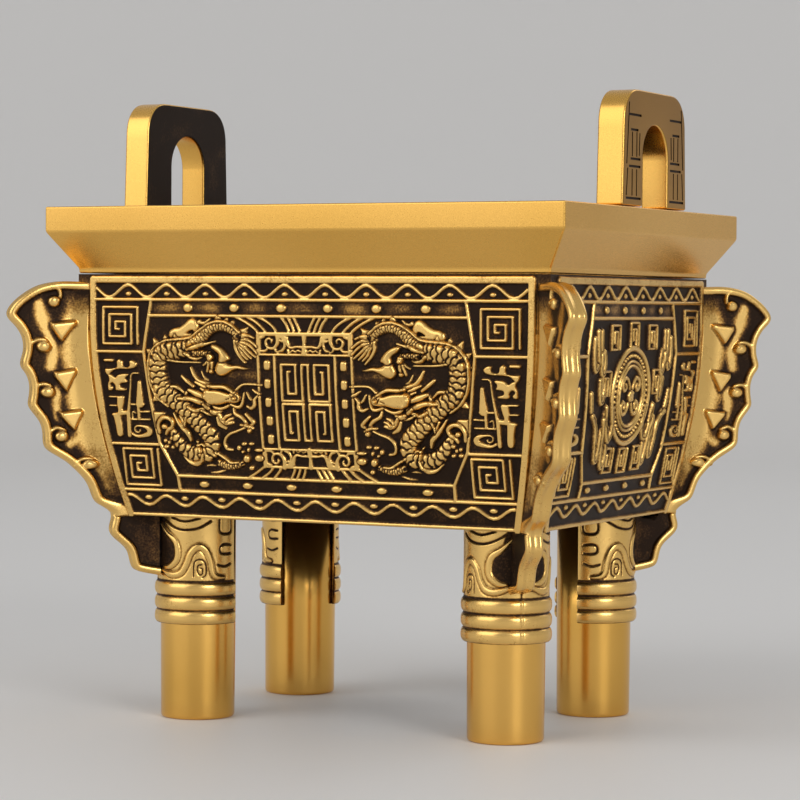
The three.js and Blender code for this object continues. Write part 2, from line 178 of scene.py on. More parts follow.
@dataclass(frozen=True)
class ScaleRule:
    """How overlapping scales lie on a body.

    The column, radius and seam are shares of the row, which is the step from one row to the next. A scale
    lifts by depth, a share of the body's height, and the seam beside it is seam_depth times as deep.
    """

    row: float
    column: float = 1.8
    radius: float = 1.03
    seam: float = 0.42
    least_seam: float = 0.4
    depth: float = 0.12
    full_row: float = 1.45
    seam_depth: float = 2.2
    # how dark the painted shadow in the seam under each scale's free edge is
    seam_shade: float = 2.0
    floor: float = 0.2
    shine: float = 1.05

    def laid(self, run: np.ndarray, side: np.ndarray) -> tuple[np.ndarray, np.ndarray]:
        """Gives how far each cell lies up its own scale, and how deep in a seam between scales.

        Args:
            run: How far along the body each cell lies.
            side: How far beside its middle.

        Returns:
            The lift, from -1 to 1, and the seam, from 0 to 1.
        """
        column, radius = self.column * self.row, self.radius * self.row
        reach = max(self.seam * self.row, self.least_seam)
        owned = np.zeros(run.shape, bool)
        lift = np.zeros(run.shape)
        seam = np.zeros(run.shape)
        for ahead in (2, 1, 0, -1):
            number = np.floor(run / self.row) + ahead
            shift = 0.5 * np.mod(number, 2.0)
            middle = (np.round(side / column - shift) + shift) * column
            away = np.hypot(run - number * self.row, side - middle)
            beside = np.clip(1.0 - (away - radius) / reach, 0.0, 1.0) * (away >= radius) * ~owned
            seam = np.maximum(seam, beside)
            fresh = (away < radius) & ~owned
            lift = np.where(fresh, np.clip((number * self.row - run) / radius, -1.0, 1.0), lift)
            owned |= fresh
        return lift, seam


class Field:
    """Heights over a flat patch of bronze, in millimetres: what is rubbed bright, left dark and painted
    with light and shade.

    Attributes:
        edge: How wide the shoulders of a flat strip are.
        shade: The share of a shape's height below which it stays dark.
        plain: The height at which bare ground would be rubbed bright.
        lowest: The height down to which a groove may cut.
        raised_from: The least height that counts as raised.
        carried: How much of what lies below a shape with a moat lifts it.
        moat_depth: How deep a moat cuts, as a share.
        moat_dark: How dark a moat is, with dark patina and painted shade in it.
        full_share: The share of a shape's height at which it is rubbed bright.
        groove_slope: How steep a groove's sides are.
        crest_gain: How much a crest is brighter than a flat, for each millimetre above what is round it.
        crest_range: The least and the most of that gain.
        crest_passes: How often the heights are evened out to find what is round a cell.
        hole_dark: How dark an opening is.
        ring_steps: How many stretches a ring is drawn with.
    """

    edge = 0.4
    shade = 0.25
    plain = 0.8
    lowest = 0.0
    raised_from = 0.05
    carried = 0.35
    moat_depth = 0.6
    moat_dark = 0.85
    full_share = 0.95
    groove_slope = 1.6
    crest_gain = 1.6
    crest_range = (-0.45, 0.3)
    crest_passes = 4
    hole_dark = 0.9
    ring_steps = 72

    def __init__(self, across: np.ndarray, up: np.ndarray) -> None:
        """Starts a level field.

        Args:
            across: Each cell's place across the patch.
            up: Each cell's place up the patch.
        """
        self.across = across
        self.up = up
        self.height = np.zeros_like(across)
        self.rub_and_glow = np.zeros_like(across)
        self.patina_and_shade = np.zeros_like(across)
        self.full = np.full_like(across, self.plain)
        self._low, self._high = across.min(axis=0), across.max(axis=0)
        self._rows_low, self._rows_high = up.min(axis=1), up.max(axis=1)

    def _window(self, low: Point, high: Point) -> tuple[slice, slice] | None:
        """Finds the rows and columns that a small shape can touch."""
        rows = np.nonzero((self._rows_high >= low[1]) & (self._rows_low <= high[1]))[0]
        cols = np.nonzero((self._high >= low[0]) & (self._low <= high[0]))[0]
        if not len(rows) or not len(cols):
            return None
        return slice(rows[0], rows[-1] + 1), slice(cols[0], cols[-1] + 1)

    def _profile(self, share: np.ndarray, half: np.ndarray, section: Section) -> np.ndarray:
        """Gives a strip's height, from 0 to 1, at a share of its half width."""
        if section is Section.ROUND:
            return np.sqrt(np.clip(1.0 - share * share, 0.0, 1.0))
        return smoothstep((1.0 - share) * half / self.edge)

    def trace(self, points: Line, width: Amount, height: Amount, margin: float = 0.0) -> Trace | None:
        """Measures the cells near a line against it.

        Args:
            points: The line.
            width: The width of the strip along it, or widths spaced along it.
            height: Its height, or heights.
            margin: How far beyond the strip cells are measured too.

        Returns:
            The measures, or nothing where no cell is near.
        """
        pts = np.asarray(points, float)
        widths, heights = spread(width, len(pts)), spread(height, len(pts))
        reach = widths.max() / 2 + margin
        window = self._window(pts.min(axis=0) - reach, pts.max(axis=0) + reach)
        if window is None:
            return None
        shape = self.across[window].shape
        made = Trace(window, *(np.full(shape, value) for value in (np.inf, np.inf, 1.0, 0.0, 0.0, 0.0)))
        travelled = 0.0
        for k in range(len(pts) - 1):
            dx, dz = pts[k + 1] - pts[k]
            length = max(math.hypot(dx, dz), 1e-6)
            low, high = np.minimum(pts[k], pts[k + 1]), np.maximum(pts[k], pts[k + 1])
            part = self._window(low - reach, high + reach)
            if part is not None:
                near = tuple(slice(p.start - w.start, p.stop - w.start) for p, w in zip(part, window))
                x, z = self.across[part] - pts[k, 0], self.up[part] - pts[k, 1]
                along = np.clip((x * dx + z * dz) / length ** 2, 0.0, 1.0)
                gap = np.hypot(x - along * dx, z - along * dz)
                half = (widths[k] + (widths[k + 1] - widths[k]) * along) / 2
                closer = gap / half < made.share[near]
                top = heights[k] + (heights[k + 1] - heights[k]) * along
                beside = (dx * z - dz * x) / length
                for store, value in ((made.share, gap / half), (made.gap, gap), (made.half, half),
                                     (made.top, top), (made.run, travelled + along * length),
                                     (made.side, beside)):
                    np.copyto(store[near], value, where=closer)
            travelled += length
        return made

    def _lay(self, window: tuple[slice, slice], raised: np.ndarray, top: np.ndarray, beyond: np.ndarray,
             moat: float) -> None:
        """Lays a shape on the field.

        Args:
            window: The cells that it touches.
            raised: Its height in each.
            top: Its full height beside each.
            beyond: How far each cell lies outside its border, less than 0 inside.
            moat: The width of the dark border that sets it off from what lies under it.
        """
        height, patina_and_shade, full = self.height[window], self.patina_and_shade[window], self.full[window]
        inside = beyond <= 0.0
        if moat:
            trench = smoothstep(1.0 - beyond / moat) * ~inside * (height > self.raised_from)
            height *= 1.0 - self.moat_depth * trench
            # the moat is darkened: dark patina with painted shade in the crease
            np.maximum(patina_and_shade, self.moat_dark * trench, out=patina_and_shade)
            under = self.carried * height
            np.copyto(height, raised + under, where=inside)
            np.copyto(full, self.full_share * top + under, where=inside)
            np.copyto(patina_and_shade, 0.0, where=inside)
        else:
            np.copyto(full, self.full_share * top, where=inside & (raised >= height))
            np.maximum(height, raised, out=height)

    def stroke(self, points: Line, width: Amount, height: Amount, section: Section = Section.ROUND,
               moat: float = 0.0) -> None:
        """Raises a strip along a line.

        Args:
            points: The line that the strip follows.
            width: The strip's width, or widths spaced along it.
            height: Its height, or heights spaced along it.
            section: How it is shaped across.
            moat: The width of the dark border round it.
        """
        found = self.trace(points, width, height, moat)
        if found is not None:
            raised = found.top * self._profile(found.share, found.half, section)
            self._lay(found.window, raised, found.top, found.gap - found.half, moat)

    def groove(self, points: Line, width: Amount, depth: float, dark: float = 0.85) -> None:
        """Cuts a dark line into what is raised."""
        found = self.trace(points, width, depth)
        if found is not None:
            cut = smoothstep((1.0 - found.share) * self.groove_slope)
            height, patina_and_shade = self.height[found.window], self.patina_and_shade[found.window]
            np.copyto(height, np.maximum(height - depth * cut, np.minimum(height, self.lowest)))
            np.maximum(patina_and_shade, dark * cut, out=patina_and_shade)

    def gild_and_glow(self, points: Line, width: Amount, share: float) -> None:
        """Brightens the ground along a line: rubbed metal on the flanges, a painted glow below the dragons'
        pearls.
        """
        found = self.trace(points, width, 0.0)
        if found is not None:
            rub_and_glow = self.rub_and_glow[found.window]
            np.maximum(rub_and_glow, share * smoothstep(1.0 - found.share), out=rub_and_glow)

    def shadow(self, outline: Line, reach: float, dark: float = 0.75) -> None:
        """Paints a shadow on the ground round an outline."""
        found = self._within(outline, reach)
        if found is not None:
            window, beyond = found
            np.maximum(self.patina_and_shade[window], dark * smoothstep(1.0 - beyond / reach), out=self.patina_and_shade[window])

    def dome(self, x: float, z: float, wide: float, tall: float, height: float, moat: float = 0.0) -> None:
        """Raises an oval stud, wide and tall being its full size."""
        middle, reach = np.array((x, z)), np.array((wide, tall)) / 2 + moat
        window = self._window(middle - reach, middle + reach)
        if window is not None:
            share = np.hypot((self.across[window] - x) * 2 / wide, (self.up[window] - z) * 2 / tall)
            raised = height * np.sqrt(np.clip(1.0 - share ** 3, 0.0, 1.0))
            beyond = (share - 1.0) * min(wide, tall) / 2
            self._lay(window, raised, np.full_like(share, height), beyond, moat)

    def ring(self, x: float, z: float, radius: float, width: float, height: float) -> None:
        """Raises a ring, radius being that of the strip's middle."""
        turns = np.linspace(0.0, 2.0 * math.pi, self.ring_steps + 1)
        self.stroke([(x + radius * math.cos(t), z + radius * math.sin(t)) for t in turns], width, height)

    def _within(self, outline: Line, margin: float) -> tuple[tuple[slice, slice], np.ndarray] | None:
        """Measures how far the cells near an outline lie outside it, less than 0 inside."""
        pts = np.asarray(outline, float)
        window = self._window(pts.min(axis=0) - margin, pts.max(axis=0) + margin)
        if window is None:
            return None
        x, z = self.across[window], self.up[window]
        inside = np.zeros(x.shape, bool)
        gap = np.full(x.shape, np.inf)
        for start, end in zip(pts, np.roll(pts, -1, axis=0)):
            (ax, az), (bx, bz) = start, end
            crossing = ax + (z - az) * (bx - ax) / ((bz - az) or TINY)
            inside ^= ((az > z) != (bz > z)) & (x < crossing)
            gap = np.minimum(gap, gap_to(x, z, start, end))
        return window, np.where(inside, -gap, gap)

    def plate(self, outline: Line, height: float, slope: float = 0.5, moat: float = 0.0) -> None:
        """Raises a plate with rounded shoulders inside an outline.

        Args:
            outline: The plate's corners, in order.
            height: How far its top stands up.
            slope: How wide its shoulders are.
            moat: The width of the dark border round it.
        """
        found = self._within(outline, moat)
        if found is not None:
            window, beyond = found
            fall = 1.0 - np.clip(-beyond / slope, 0.0, 1.0)
            self._lay(window, height * np.sqrt(1.0 - fall ** 2), np.full_like(fall, height), beyond, moat)

    def hole(self, outline: Line, slope: float = 0.3) -> None:
        """Cuts a dark opening through what is raised, down to the ground."""
        found = self._within(outline, 0.0)
        if found is not None:
            window, beyond = found
            cut = smoothstep(-beyond / slope)
            self.height[window] *= 1.0 - cut
            np.maximum(self.patina_and_shade[window], self.hole_dark * cut, out=self.patina_and_shade[window])

    def scales(self, points: Line, width: Amount, height: Amount, row: float, moat: float = 0.35) -> None:
        """Raises a scaled body along a line, the scales' free edges towards the line's start.

        Args:
            points: The middle of the body.
            width: Its widths along the line.
            height: Its heights along the line.
            row: The step from one row of scales to the next.
            moat: The width of the dark border round the body.
        """
        found = self.trace(points, width, height, moat)
        if found is None:
            return
        rule = ScaleRule(row)
        lift, seam = rule.laid(found.run, found.side)
        body = found.top * np.sqrt(np.clip(1.0 - found.share ** 3, 0.0, 1.0))
        depth = rule.depth * found.top * min(1.0, row / rule.full_row)
        raised = np.maximum(body + depth * (lift - rule.seam_depth * seam), rule.floor * body)
        beyond = found.gap - found.half
        self._lay(found.window, raised, rule.shine * found.top, beyond, moat)
        # painted shadow in the seams under the scales' free edges
        patina_and_shade = self.patina_and_shade[found.window]
        np.maximum(patina_and_shade, smoothstep(seam * rule.seam_shade) * (beyond <= 0.0), out=patina_and_shade)

    def wear_and_painted_light(self) -> np.ndarray:
        """Gives how bright each cell is, from 0 in the ground to 1 on the tops: rubbed metal with painted
        light and shade.
        """
        raised = smoothstep((self.height / self.full - self.shade) / (1.0 - self.shade))
        around = self.height
        for _ in range(self.crest_passes):
            around = blurred(around)
        crest = np.clip((self.height - around) * self.crest_gain, *self.crest_range)
        share = raised + crest * (self.height > self.raised_from) + self.rub_and_glow * (1.0 - raised)
        return np.clip(share, 0.0, 1.0) * (1.0 - self.patina_and_shade)

    def settled(self) -> tuple[np.ndarray, np.ndarray]:
        """Gives the heights and the wear with painted light and shade of every second cell, each evened out
        with its neighbours.
        """
        return blurred(self.height)[::2, ::2], blurred(self.wear_and_painted_light())[::2, ::2]


@dataclass(frozen=True)
class Sheet:
    """A plate: its outline, to be rounded, its height and how wide its shoulders are."""

    outline: Line
    height: float
    slope: float


@dataclass(frozen=True)
class Scaled:
    """A scaled part: its middle line, its widths, its height and the step between its rows of scales."""

    line: Line
    width: Amount
    height: Amount
    row: float


@dataclass
class Hand:
    """Draws one half of an ornament on a field: as given at side -1, and mirrored at side +1."""

    heights: Field
    side: int
    shift: float = 0.8
    moat: float = 0.3
    cut_depth: float = 0.5

    def placed(self, points: Line, closed: bool = False) -> list[Point]:
        """Rounds a line off and puts it in its place."""
        moved = [(x + self.shift, z) for x, z in points]
        if closed:
            moved.append(moved[0])
        return mirrored(curve_through(moved, 4) if len(moved) > 2 else moved, self.side)

    def strands(self, table: Sequence[tuple[Line, Amount, Amount]], stout: float = 1.0) -> None:
        """Raises a number of rounded strips, each given as its line, its width and its height."""
        for points, width, height in table:
            self.heights.stroke(self.placed(points), stout * np.asarray(width), height, moat=self.moat)

    def knobs(self, table: Sequence[tuple[float, float, float, float, float]]) -> None:
        """Raises a number of knobs, each given as its place, its size both ways and its height."""
        for x, z, wide, tall, height in table:
            self.heights.dome(-self.side * (x + self.shift), z, wide, tall, height, self.moat)

    def sheet(self, part: Sheet) -> None:
        """Raises a plate inside a rounded outline."""
        self.heights.plate(self.placed(part.outline, closed=True), part.height, part.slope, self.moat)

    def scaled(self, part: Scaled) -> None:
        """Raises a scaled part."""
        self.heights.scales(self.placed(part.line), part.width, part.height, part.row)

    def cuts(self, table: Sequence[tuple[Line, float]]) -> None:
        """Cuts a number of dark lines, each given as its line and its width."""
        for points, width in table:
            self.heights.groove(self.placed(points), width, self.cut_depth)


@dataclass(frozen=True)
class Brass:
    """Clean, satin brass: of the rim and ears, and turned and brushed on the legs."""

    name: str = "satin_brass"
    bright: tuple[float, float, float] = (0.86, 0.5, 0.125)
    deep: tuple[float, float, float] = (0.77, 0.435, 0.095)
    roughness: float = 0.27
    cloud: float = 16.0
    grain: tuple[float, float, float] = (4200.0, 4200.0, 4200.0)
    grain_bump: float = 0.02
    grain_depth: float = 0.05 * MM
    swing: float = 0.05

    def build(self) -> bpy.types.Material:
        """Makes the material."""
        material, nodes, links, shader = new_material(self.name)
        shader.inputs["Metallic"].default_value = 1.0
        place = nodes.new("ShaderNodeTexCoord")
        cloud = add_noise(nodes, links, place, self.cloud, 2.0)
        tone = add_ramp(nodes, [(0.3, self.deep), (0.7, self.bright)])
        links.new(cloud.outputs["Fac"], tone.inputs["Fac"])
        links.new(tone.outputs["Color"], shader.inputs["Base Color"])
        stretch = nodes.new("ShaderNodeMapping")
        stretch.inputs["Scale"].default_value = self.grain
        links.new(place.outputs["Object"], stretch.inputs["Vector"])
        grain = add_noise(nodes, links, stretch, 1.0, 3.0)
        rough = add_range(nodes, links, grain.outputs["Fac"], self.roughness - self.swing,
                          self.roughness + self.swing)
        links.new(rough.outputs["Result"], shader.inputs["Roughness"])
        add_bump(nodes, links, shader, grain.outputs["Fac"], self.grain_bump, self.grain_depth)
        return material


@dataclass(frozen=True)
class Patina:
    """Cast brass with a dark patina, rubbed back to bright metal where it stands proud."""

    name: str = "patina_brass"
    ground: tuple[float, float, float] = (0.022, 0.0115, 0.006)
    stain: tuple[float, float, float] = (0.085, 0.042, 0.017)
    rubbed: tuple[float, float, float] = (0.42, 0.225, 0.058)
    bright: tuple[float, float, float] = (0.86, 0.55, 0.175)
    gloss: float = 0.13
    speckle: float = 1700.0
    speckle_swing: tuple[float, float] = (-0.16, 0.16)
    cloud: float = 130.0
    cloud_swing: tuple[float, float] = (-0.09, 0.22)
    grain_bump: float = 0.25
    grain_depth: float = 0.06 * MM
    stops: Sequence[float] = (0.12, 0.36, 0.64, 0.92)

    def build(self) -> bpy.types.Material:
        """Makes the material, which reads the mesh's attribute of wear with painted light and shade."""
        material, nodes, links, shader = new_material(self.name)
        place = nodes.new("ShaderNodeTexCoord")
        wear_and_light_attribute = nodes.new("ShaderNodeAttribute")
        wear_and_light_attribute.attribute_name = "wear_and_painted_light"
        speckle = add_noise(nodes, links, place, self.speckle, 4.0)
        cloud = add_noise(nodes, links, place, self.cloud, 3.0)
        fine = add_range(nodes, links, speckle.outputs["Fac"], *self.speckle_swing)
        broad = add_range(nodes, links, cloud.outputs["Fac"], *self.cloud_swing)
        first = add_math(nodes, links, "ADD", wear_and_light_attribute.outputs["Fac"], fine.outputs["Result"])
        total = add_math(nodes, links, "ADD", first.outputs["Value"], broad.outputs["Result"])
        colours = (self.ground, self.stain, self.rubbed, self.bright)
        tone = add_ramp(nodes, list(zip(self.stops, colours)))
        shader.inputs["Specular IOR Level"].default_value = self.gloss
        links.new(total.outputs["Value"], tone.inputs["Fac"])
        links.new(tone.outputs["Color"], shader.inputs["Base Color"])
        metal = add_range(nodes, links, total.outputs["Value"], 0.45, 1.0, 0.1, 0.6)
        links.new(metal.outputs["Result"], shader.inputs["Metallic"])
        rough = add_range(nodes, links, total.outputs["Value"], 0.5, 0.27, 0.15, 0.9)
        links.new(rough.outputs["Result"], shader.inputs["Roughness"])
        add_bump(nodes, links, shader, speckle.outputs["Fac"], self.grain_bump, self.grain_depth)
        return material


@dataclass(frozen=True)
class Steel:
    """The plain steel of the hidden pins and the screws in the floor."""

    name: str = "plain_steel"
    colour: tuple[float, float, float] = (0.5, 0.49, 0.47)
    dark_share: float = 0.7
    grain: float = 1500.0
    roughness: tuple[float, float] = (0.28, 0.45)

    def build(self) -> bpy.types.Material:
        """Makes the material."""
        material, nodes, links, shader = new_material(self.name)
        shader.inputs["Metallic"].default_value = 1.0
        place = nodes.new("ShaderNodeTexCoord")
        grain = add_noise(nodes, links, place, self.grain, 3.0)
        dark = tuple(self.dark_share * part for part in self.colour)
        tone = add_ramp(nodes, [(0.3, dark), (0.7, self.colour)])
        links.new(grain.outputs["Fac"], tone.inputs["Fac"])
        links.new(tone.outputs["Color"], shader.inputs["Base Color"])
        rough = add_range(nodes, links, grain.outputs["Fac"], *self.roughness)
        links.new(rough.outputs["Result"], shader.inputs["Roughness"])
        return material


def new_material(name: str) -> tuple:
    """Starts a node material.

    Args:
        name: The material's name.

    Returns:
        The material, its nodes, its links and its main shader.
    """
    material = bpy.data.materials.new(name)
    material.use_nodes = True
    nodes = material.node_tree.nodes
    return material, nodes, material.node_tree.links, nodes["Principled BSDF"]


def add_noise(nodes, links, source, scale: float, detail: float):
    """Adds a noise that reads object coordinates, or a mapping of them."""
    noise = nodes.new("ShaderNodeTexNoise")
    noise.inputs["Scale"].default_value = scale
    noise.inputs["Detail"].default_value = detail
    output = source.outputs["Object"] if "Object" in source.outputs else source.outputs["Vector"]
    links.new(output, noise.inputs["Vector"])
    return noise


def add_ramp(nodes, stops: Sequence[tuple[float, tuple[float, float, float]]]):
    """Adds a colour ramp with the given stops."""
    ramp = nodes.new("ShaderNodeValToRGB")
    elements = ramp.color_ramp.elements
    while len(elements) < len(stops):
        elements.new(0.5)
    for element, (place, colour) in zip(elements, stops):
        element.position = place
        element.color = (*colour, 1.0)
    return ramp


def add_range(nodes, links, value, low: float, high: float, start: float = 0.3, end: float = 0.7):
    """Adds a map from a value's range, start to end, to a new range, low to high."""
    node = nodes.new("ShaderNodeMapRange")
    node.inputs["From Min"].default_value = start
    node.inputs["From Max"].default_value = end
    node.inputs["To Min"].default_value = low
    node.inputs["To Max"].default_value = high
    links.new(value, node.inputs["Value"])
    return node


def add_math(nodes, links, operation: str, first, second):
    """Adds a sum or another operation on two values."""
    node = nodes.new("ShaderNodeMath")
    node.operation = operation
    links.new(first, node.inputs[0])
    links.new(second, node.inputs[1])
    return node


def add_bump(nodes, links, shader, height, strength: float, distance: float):
    """Adds a bump to a shader's normal."""
    bump = nodes.new("ShaderNodeBump")
    bump.inputs["Strength"].default_value = strength
    bump.inputs["Distance"].default_value = distance
    links.new(height, bump.inputs["Height"])
    links.new(bump.outputs["Normal"], shader.inputs["Normal"])
    return bump


def add_object(name: str, data: bpy.types.ID) -> bpy.types.Object:
    """Adds an object to the scene, at the origin."""
    made = bpy.data.objects.new(name, data)
    bpy.context.scene.collection.objects.link(made)
    return made


def as_mesh(name: str, bm: bmesh.types.BMesh) -> bpy.types.Mesh:
    """Makes a bmesh a mesh, and frees it."""
    mesh = bpy.data.meshes.new(name)
    bm.to_mesh(mesh)
    bm.free()
    return mesh


def smooth(bm: bmesh.types.BMesh) -> None:
    """Shades all faces smooth."""
    for face in bm.faces:
        face.smooth = True


def soften(bm: bmesh.types.BMesh, turn: float, width: float) -> None:
    """Rounds off the edges at which the faces turn by more than an angle, with soft edges of a width."""
    sharp = [edge for edge in bm.edges if edge.calc_face_angle(0.0) > turn]
    bmesh.ops.bevel(bm, geom=sharp, offset=width, offset_type="OFFSET", segments=3, profile=0.5,
                    affect="EDGES", clamp_overlap=True, material=-1)


def grid_mesh(name: str, bm: bmesh.types.BMesh, rows: int, cols: int) -> tuple:
    """Makes a bmesh that began as a plain grid a mesh.

    Args:
        name: The mesh's name.
        bm: The grid, from -1 to 1 both ways, with whatever was added behind it.
        rows: How many rows of vertices the grid has.
        cols: How many columns.

    Returns:
        The mesh, and each vertex's row, column and height over the grid.
    """
    mesh = as_mesh(name, bm)
    co = np.zeros(len(mesh.vertices) * 3)
    mesh.vertices.foreach_get("co", co)
    co = co.reshape(-1, 3)
    col = np.rint((co[:, 0] + 1) / 2 * (cols - 1)).astype(int)
    row = np.rint((co[:, 1] + 1) / 2 * (rows - 1)).astype(int)
    return mesh, row, col, co[:, 2]


def give_wear_and_painted_light(mesh: bpy.types.Mesh, shares: np.ndarray) -> None:
    """Gives a mesh its attribute of wear with painted light and shade, one share for each vertex."""
    mesh.attributes.new("wear_and_painted_light", "FLOAT", "POINT").data.foreach_set("value", shares.astype(np.float32))


def finish_mesh(name: str, mesh: bpy.types.Mesh, material: bpy.types.Material,
                node: str) -> bpy.types.Object:
    """Makes a mesh an object that rides on the frame.

    Args:
        name: The piece's name.
        mesh: Its mesh, in metres and in place.
        material: Its finish.
        node: The frame's node that it stands for.

    Returns:
        The object.
    """
    mesh.materials.clear()
    mesh.materials.append(material)
    piece = add_object(name, mesh)
    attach(piece, "root")
    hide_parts(node)
    LOG.info("%s: %d faces", name, len(mesh.polygons))
    return piece


class Ruled(Enum):
    """The direction in which a shell's back is straight."""

    ACROSS = "across"
    UP = "up"


def shell(name: str, rows: int, cols: int, front: np.ndarray, back: np.ndarray, wear_and_painted_light: np.ndarray,
          ruled: Ruled) -> bpy.types.Mesh:
    """Makes a closed shell with a fine front and a plain back.

    Args:
        name: The mesh's name.
        rows: The number of cells up.
        cols: The number of cells across.
        front: Each cell's place on the front, rows by cols by 3, in metres.
        back: Each cell's place on the back, of which only the border is used.
        wear_and_painted_light: How bright each cell of the front is rubbed, with painted light and shade.
        ruled: The direction in which the back is straight.

    Returns:
        The mesh, with its attribute of wear and painted light and shade.
    """
    bm = bmesh.new()
    bmesh.ops.create_grid(bm, x_segments=cols - 1, y_segments=rows - 1, size=1.0)
    border = [edge for edge in bm.edges if edge.is_boundary]
    for edge in border:
        edge.smooth = False
    made = bmesh.ops.extrude_edge_only(bm, edges=border)
    rear = [item for item in made["geom"] if isinstance(item, bmesh.types.BMVert)]
    bmesh.ops.translate(bm, verts=rear, vec=(0.0, 0.0, -1.0))
    axis = 0 if ruled is Ruled.ACROSS else 1
    plain = [v for v in rear if abs(abs(v.co[axis]) - 1.0) > NEAR]
    bmesh.ops.dissolve_verts(bm, verts=plain)
    rails = [edge for edge in bm.edges if edge.is_boundary
             and all(v.co.z < -0.5 for v in edge.verts)
             and abs(edge.verts[0].co[axis] - edge.verts[1].co[axis]) < NEAR]
    bmesh.ops.bridge_loops(bm, edges=rails)
    bmesh.ops.holes_fill(bm, edges=[edge for edge in bm.edges if edge.is_boundary])
    mesh, i, j, level = grid_mesh(name, bm, rows, cols)
    behind = level < -0.5
    place = np.where(behind[:, None], back[i, j], front[i, j])
    mesh.vertices.foreach_set("co", place.reshape(-1))
    give_wear_and_painted_light(mesh, np.where(behind, BACK_WEAR, wear_and_painted_light[i, j]))
    return outward(mesh)


def outward(mesh: bpy.types.Mesh) -> bpy.types.Mesh:
    """Turns a closed mesh's faces outwards and shades them smooth."""
    bm = bmesh.new()
    bm.from_mesh(mesh)
    bmesh.ops.recalc_face_normals(bm, faces=bm.faces)
    smooth(bm)
    bm.to_mesh(mesh)
    bm.free()
    mesh.update()
    return mesh


@dataclass
class Body:
    """The sizes of the vessel's body that its walls, flanges and rim share, in millimetres."""

    half_length: float = 82.4
    half_depth: float = 64.05
    foot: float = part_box("front_wall")[0].z / MM
    top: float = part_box("front_wall")[1].z / MM
    thickness: float = 3.0
    foot_thickness: float = 3.31
    foot_height: float = 3.0
    straight: float = 13.3
    draw_length: float = 8.6
    draw_depth: float = 9.9
    power: float = 1.9

    def __post_init__(self) -> None:
        """Works out where the walls begin to draw in, and over what height."""
        self.bend = self.top - self.straight
        self.span = self.bend - self.foot

    def drawn(self, z: np.ndarray | float) -> np.ndarray:
        """Gives how far the walls have drawn in at a height, from 0 to 1."""
        return (np.maximum(self.bend - z, 0.0) / self.span) ** self.power

    def slope(self, z: np.ndarray) -> np.ndarray:
        """Gives how fast the share of drawn changes with height."""
        return -self.power / self.span * (np.maximum(self.bend - z, 0.0) / self.span) ** (self.power - 1)


@dataclass
class Wall:
    """One face of the body: its shape, and the field of its ornament."""

    body: Body
    name: str
    turn: float
    long: bool
    cell: float = 0.26
    panels: int = 2
    frame_margin: float = 4.43
    frame_width: float = 2.8
    rail: float = 1.5
    line: float = 1.3
    relief: float = 1.0

    def __post_init__(self) -> None:
        """Works out the face's own sizes."""
        b = self.body
        self.half = b.half_length if self.long else b.half_depth
        self.reach = b.half_depth if self.long else b.half_length
        self.draw_side = b.draw_length if self.long else b.draw_depth
        self.draw_face = b.draw_depth if self.long else b.draw_length

    def edge(self, z: np.ndarray | float) -> np.ndarray:
        """Gives the face's half width at a height."""
        return self.half - self.draw_side * self.body.drawn(z)

    def lay(self, x: np.ndarray, z: np.ndarray, height: np.ndarray) -> np.ndarray:
        """Lays places of the flat field on the curved wall, in metres.

        Args:
            x: Places across the face.
            z: Heights above the ground.
            height: How far each stands off the wall's surface.

        Returns:
            The places in the frame, with x, y and z last.
        """
        lean = -self.draw_face * self.body.slope(z)
        norm = np.hypot(1.0, lean)
        away = self.reach - self.draw_face * self.body.drawn(z) + height / norm
        rise = z - height * lean / norm
        return self.turned(x, away, rise)

    def turned(self, x: np.ndarray, away: np.ndarray, z: np.ndarray) -> np.ndarray:
        """Turns places across the wall, out from the middle and up into the frame, in metres."""
        c, s = math.cos(self.turn), math.sin(self.turn)
        return np.stack([x * c + away * s, x * s - away * c, z], axis=-1) * MM

    def build(self, ornament: Callable, finish: bpy.types.Material) -> None:
        """Makes the wall with its ornament, in fine panels side by side.

        Args:
            ornament: What raises the ornament on the field.
            finish: The wall's material.
        """
        b = self.body
        cols = int(2 * self.half / self.cell) // 2 * 2 + 1
        rows = int((b.top - b.foot) / self.cell) + 1
        up, share = fine_grid(rows, cols)
        z = b.foot + (b.top - b.foot) * up
        heights = Field(share * self.edge(z), z)
        ornament(self, heights)
        relief, wear_and_painted_light = heights.settled()
        z = z[::2, ::2]
        front = self.lay(heights.across[::2, ::2], z, relief)
        thickness = np.interp(z, (b.foot, b.foot + b.foot_height), (b.foot_thickness, b.thickness))
        behind = self.reach - self.draw_face * b.drawn(z) - thickness
        back = self.turned(share[::2, ::2] * (self.edge(z) - thickness), behind, z)
        bounds = np.linspace(0, cols - 1, self.panels + 1).astype(int)
        for k, (first, last) in enumerate(zip(bounds, bounds[1:] + 1), 1):
            name = f"{self.name}_skin_{k}"
            part = np.s_[:, first:last]
            mesh = shell(name, rows, last - first, front[part], back[part], wear_and_painted_light[part], Ruled.ACROSS)
            finish_mesh(name, mesh, finish, self.name)


def square_spiral(centre: Point, wide: float, tall: float, pitch: float) -> list[Point]:
    """Gives the line of a square spiral, from its outer end to its middle.

    Args:
        centre: The middle of the spiral.
        wide: Its width.
        tall: Its height.
        pitch: The step from one turn to the next.

    Returns:
        The spiral's corners.
    """
    left, right = centre[0] - wide / 2, centre[0] + wide / 2
    low, high = centre[1] - tall / 2, centre[1] + tall / 2
    points = [(left, low)]
    while right - left > 0.9 * pitch and high - low > 0.9 * pitch:
        points += [(left, high), (right, high), (right, low), (left + pitch, low)]
        left, right, low, high = left + pitch, right - pitch, low + pitch, high - pitch
    return points


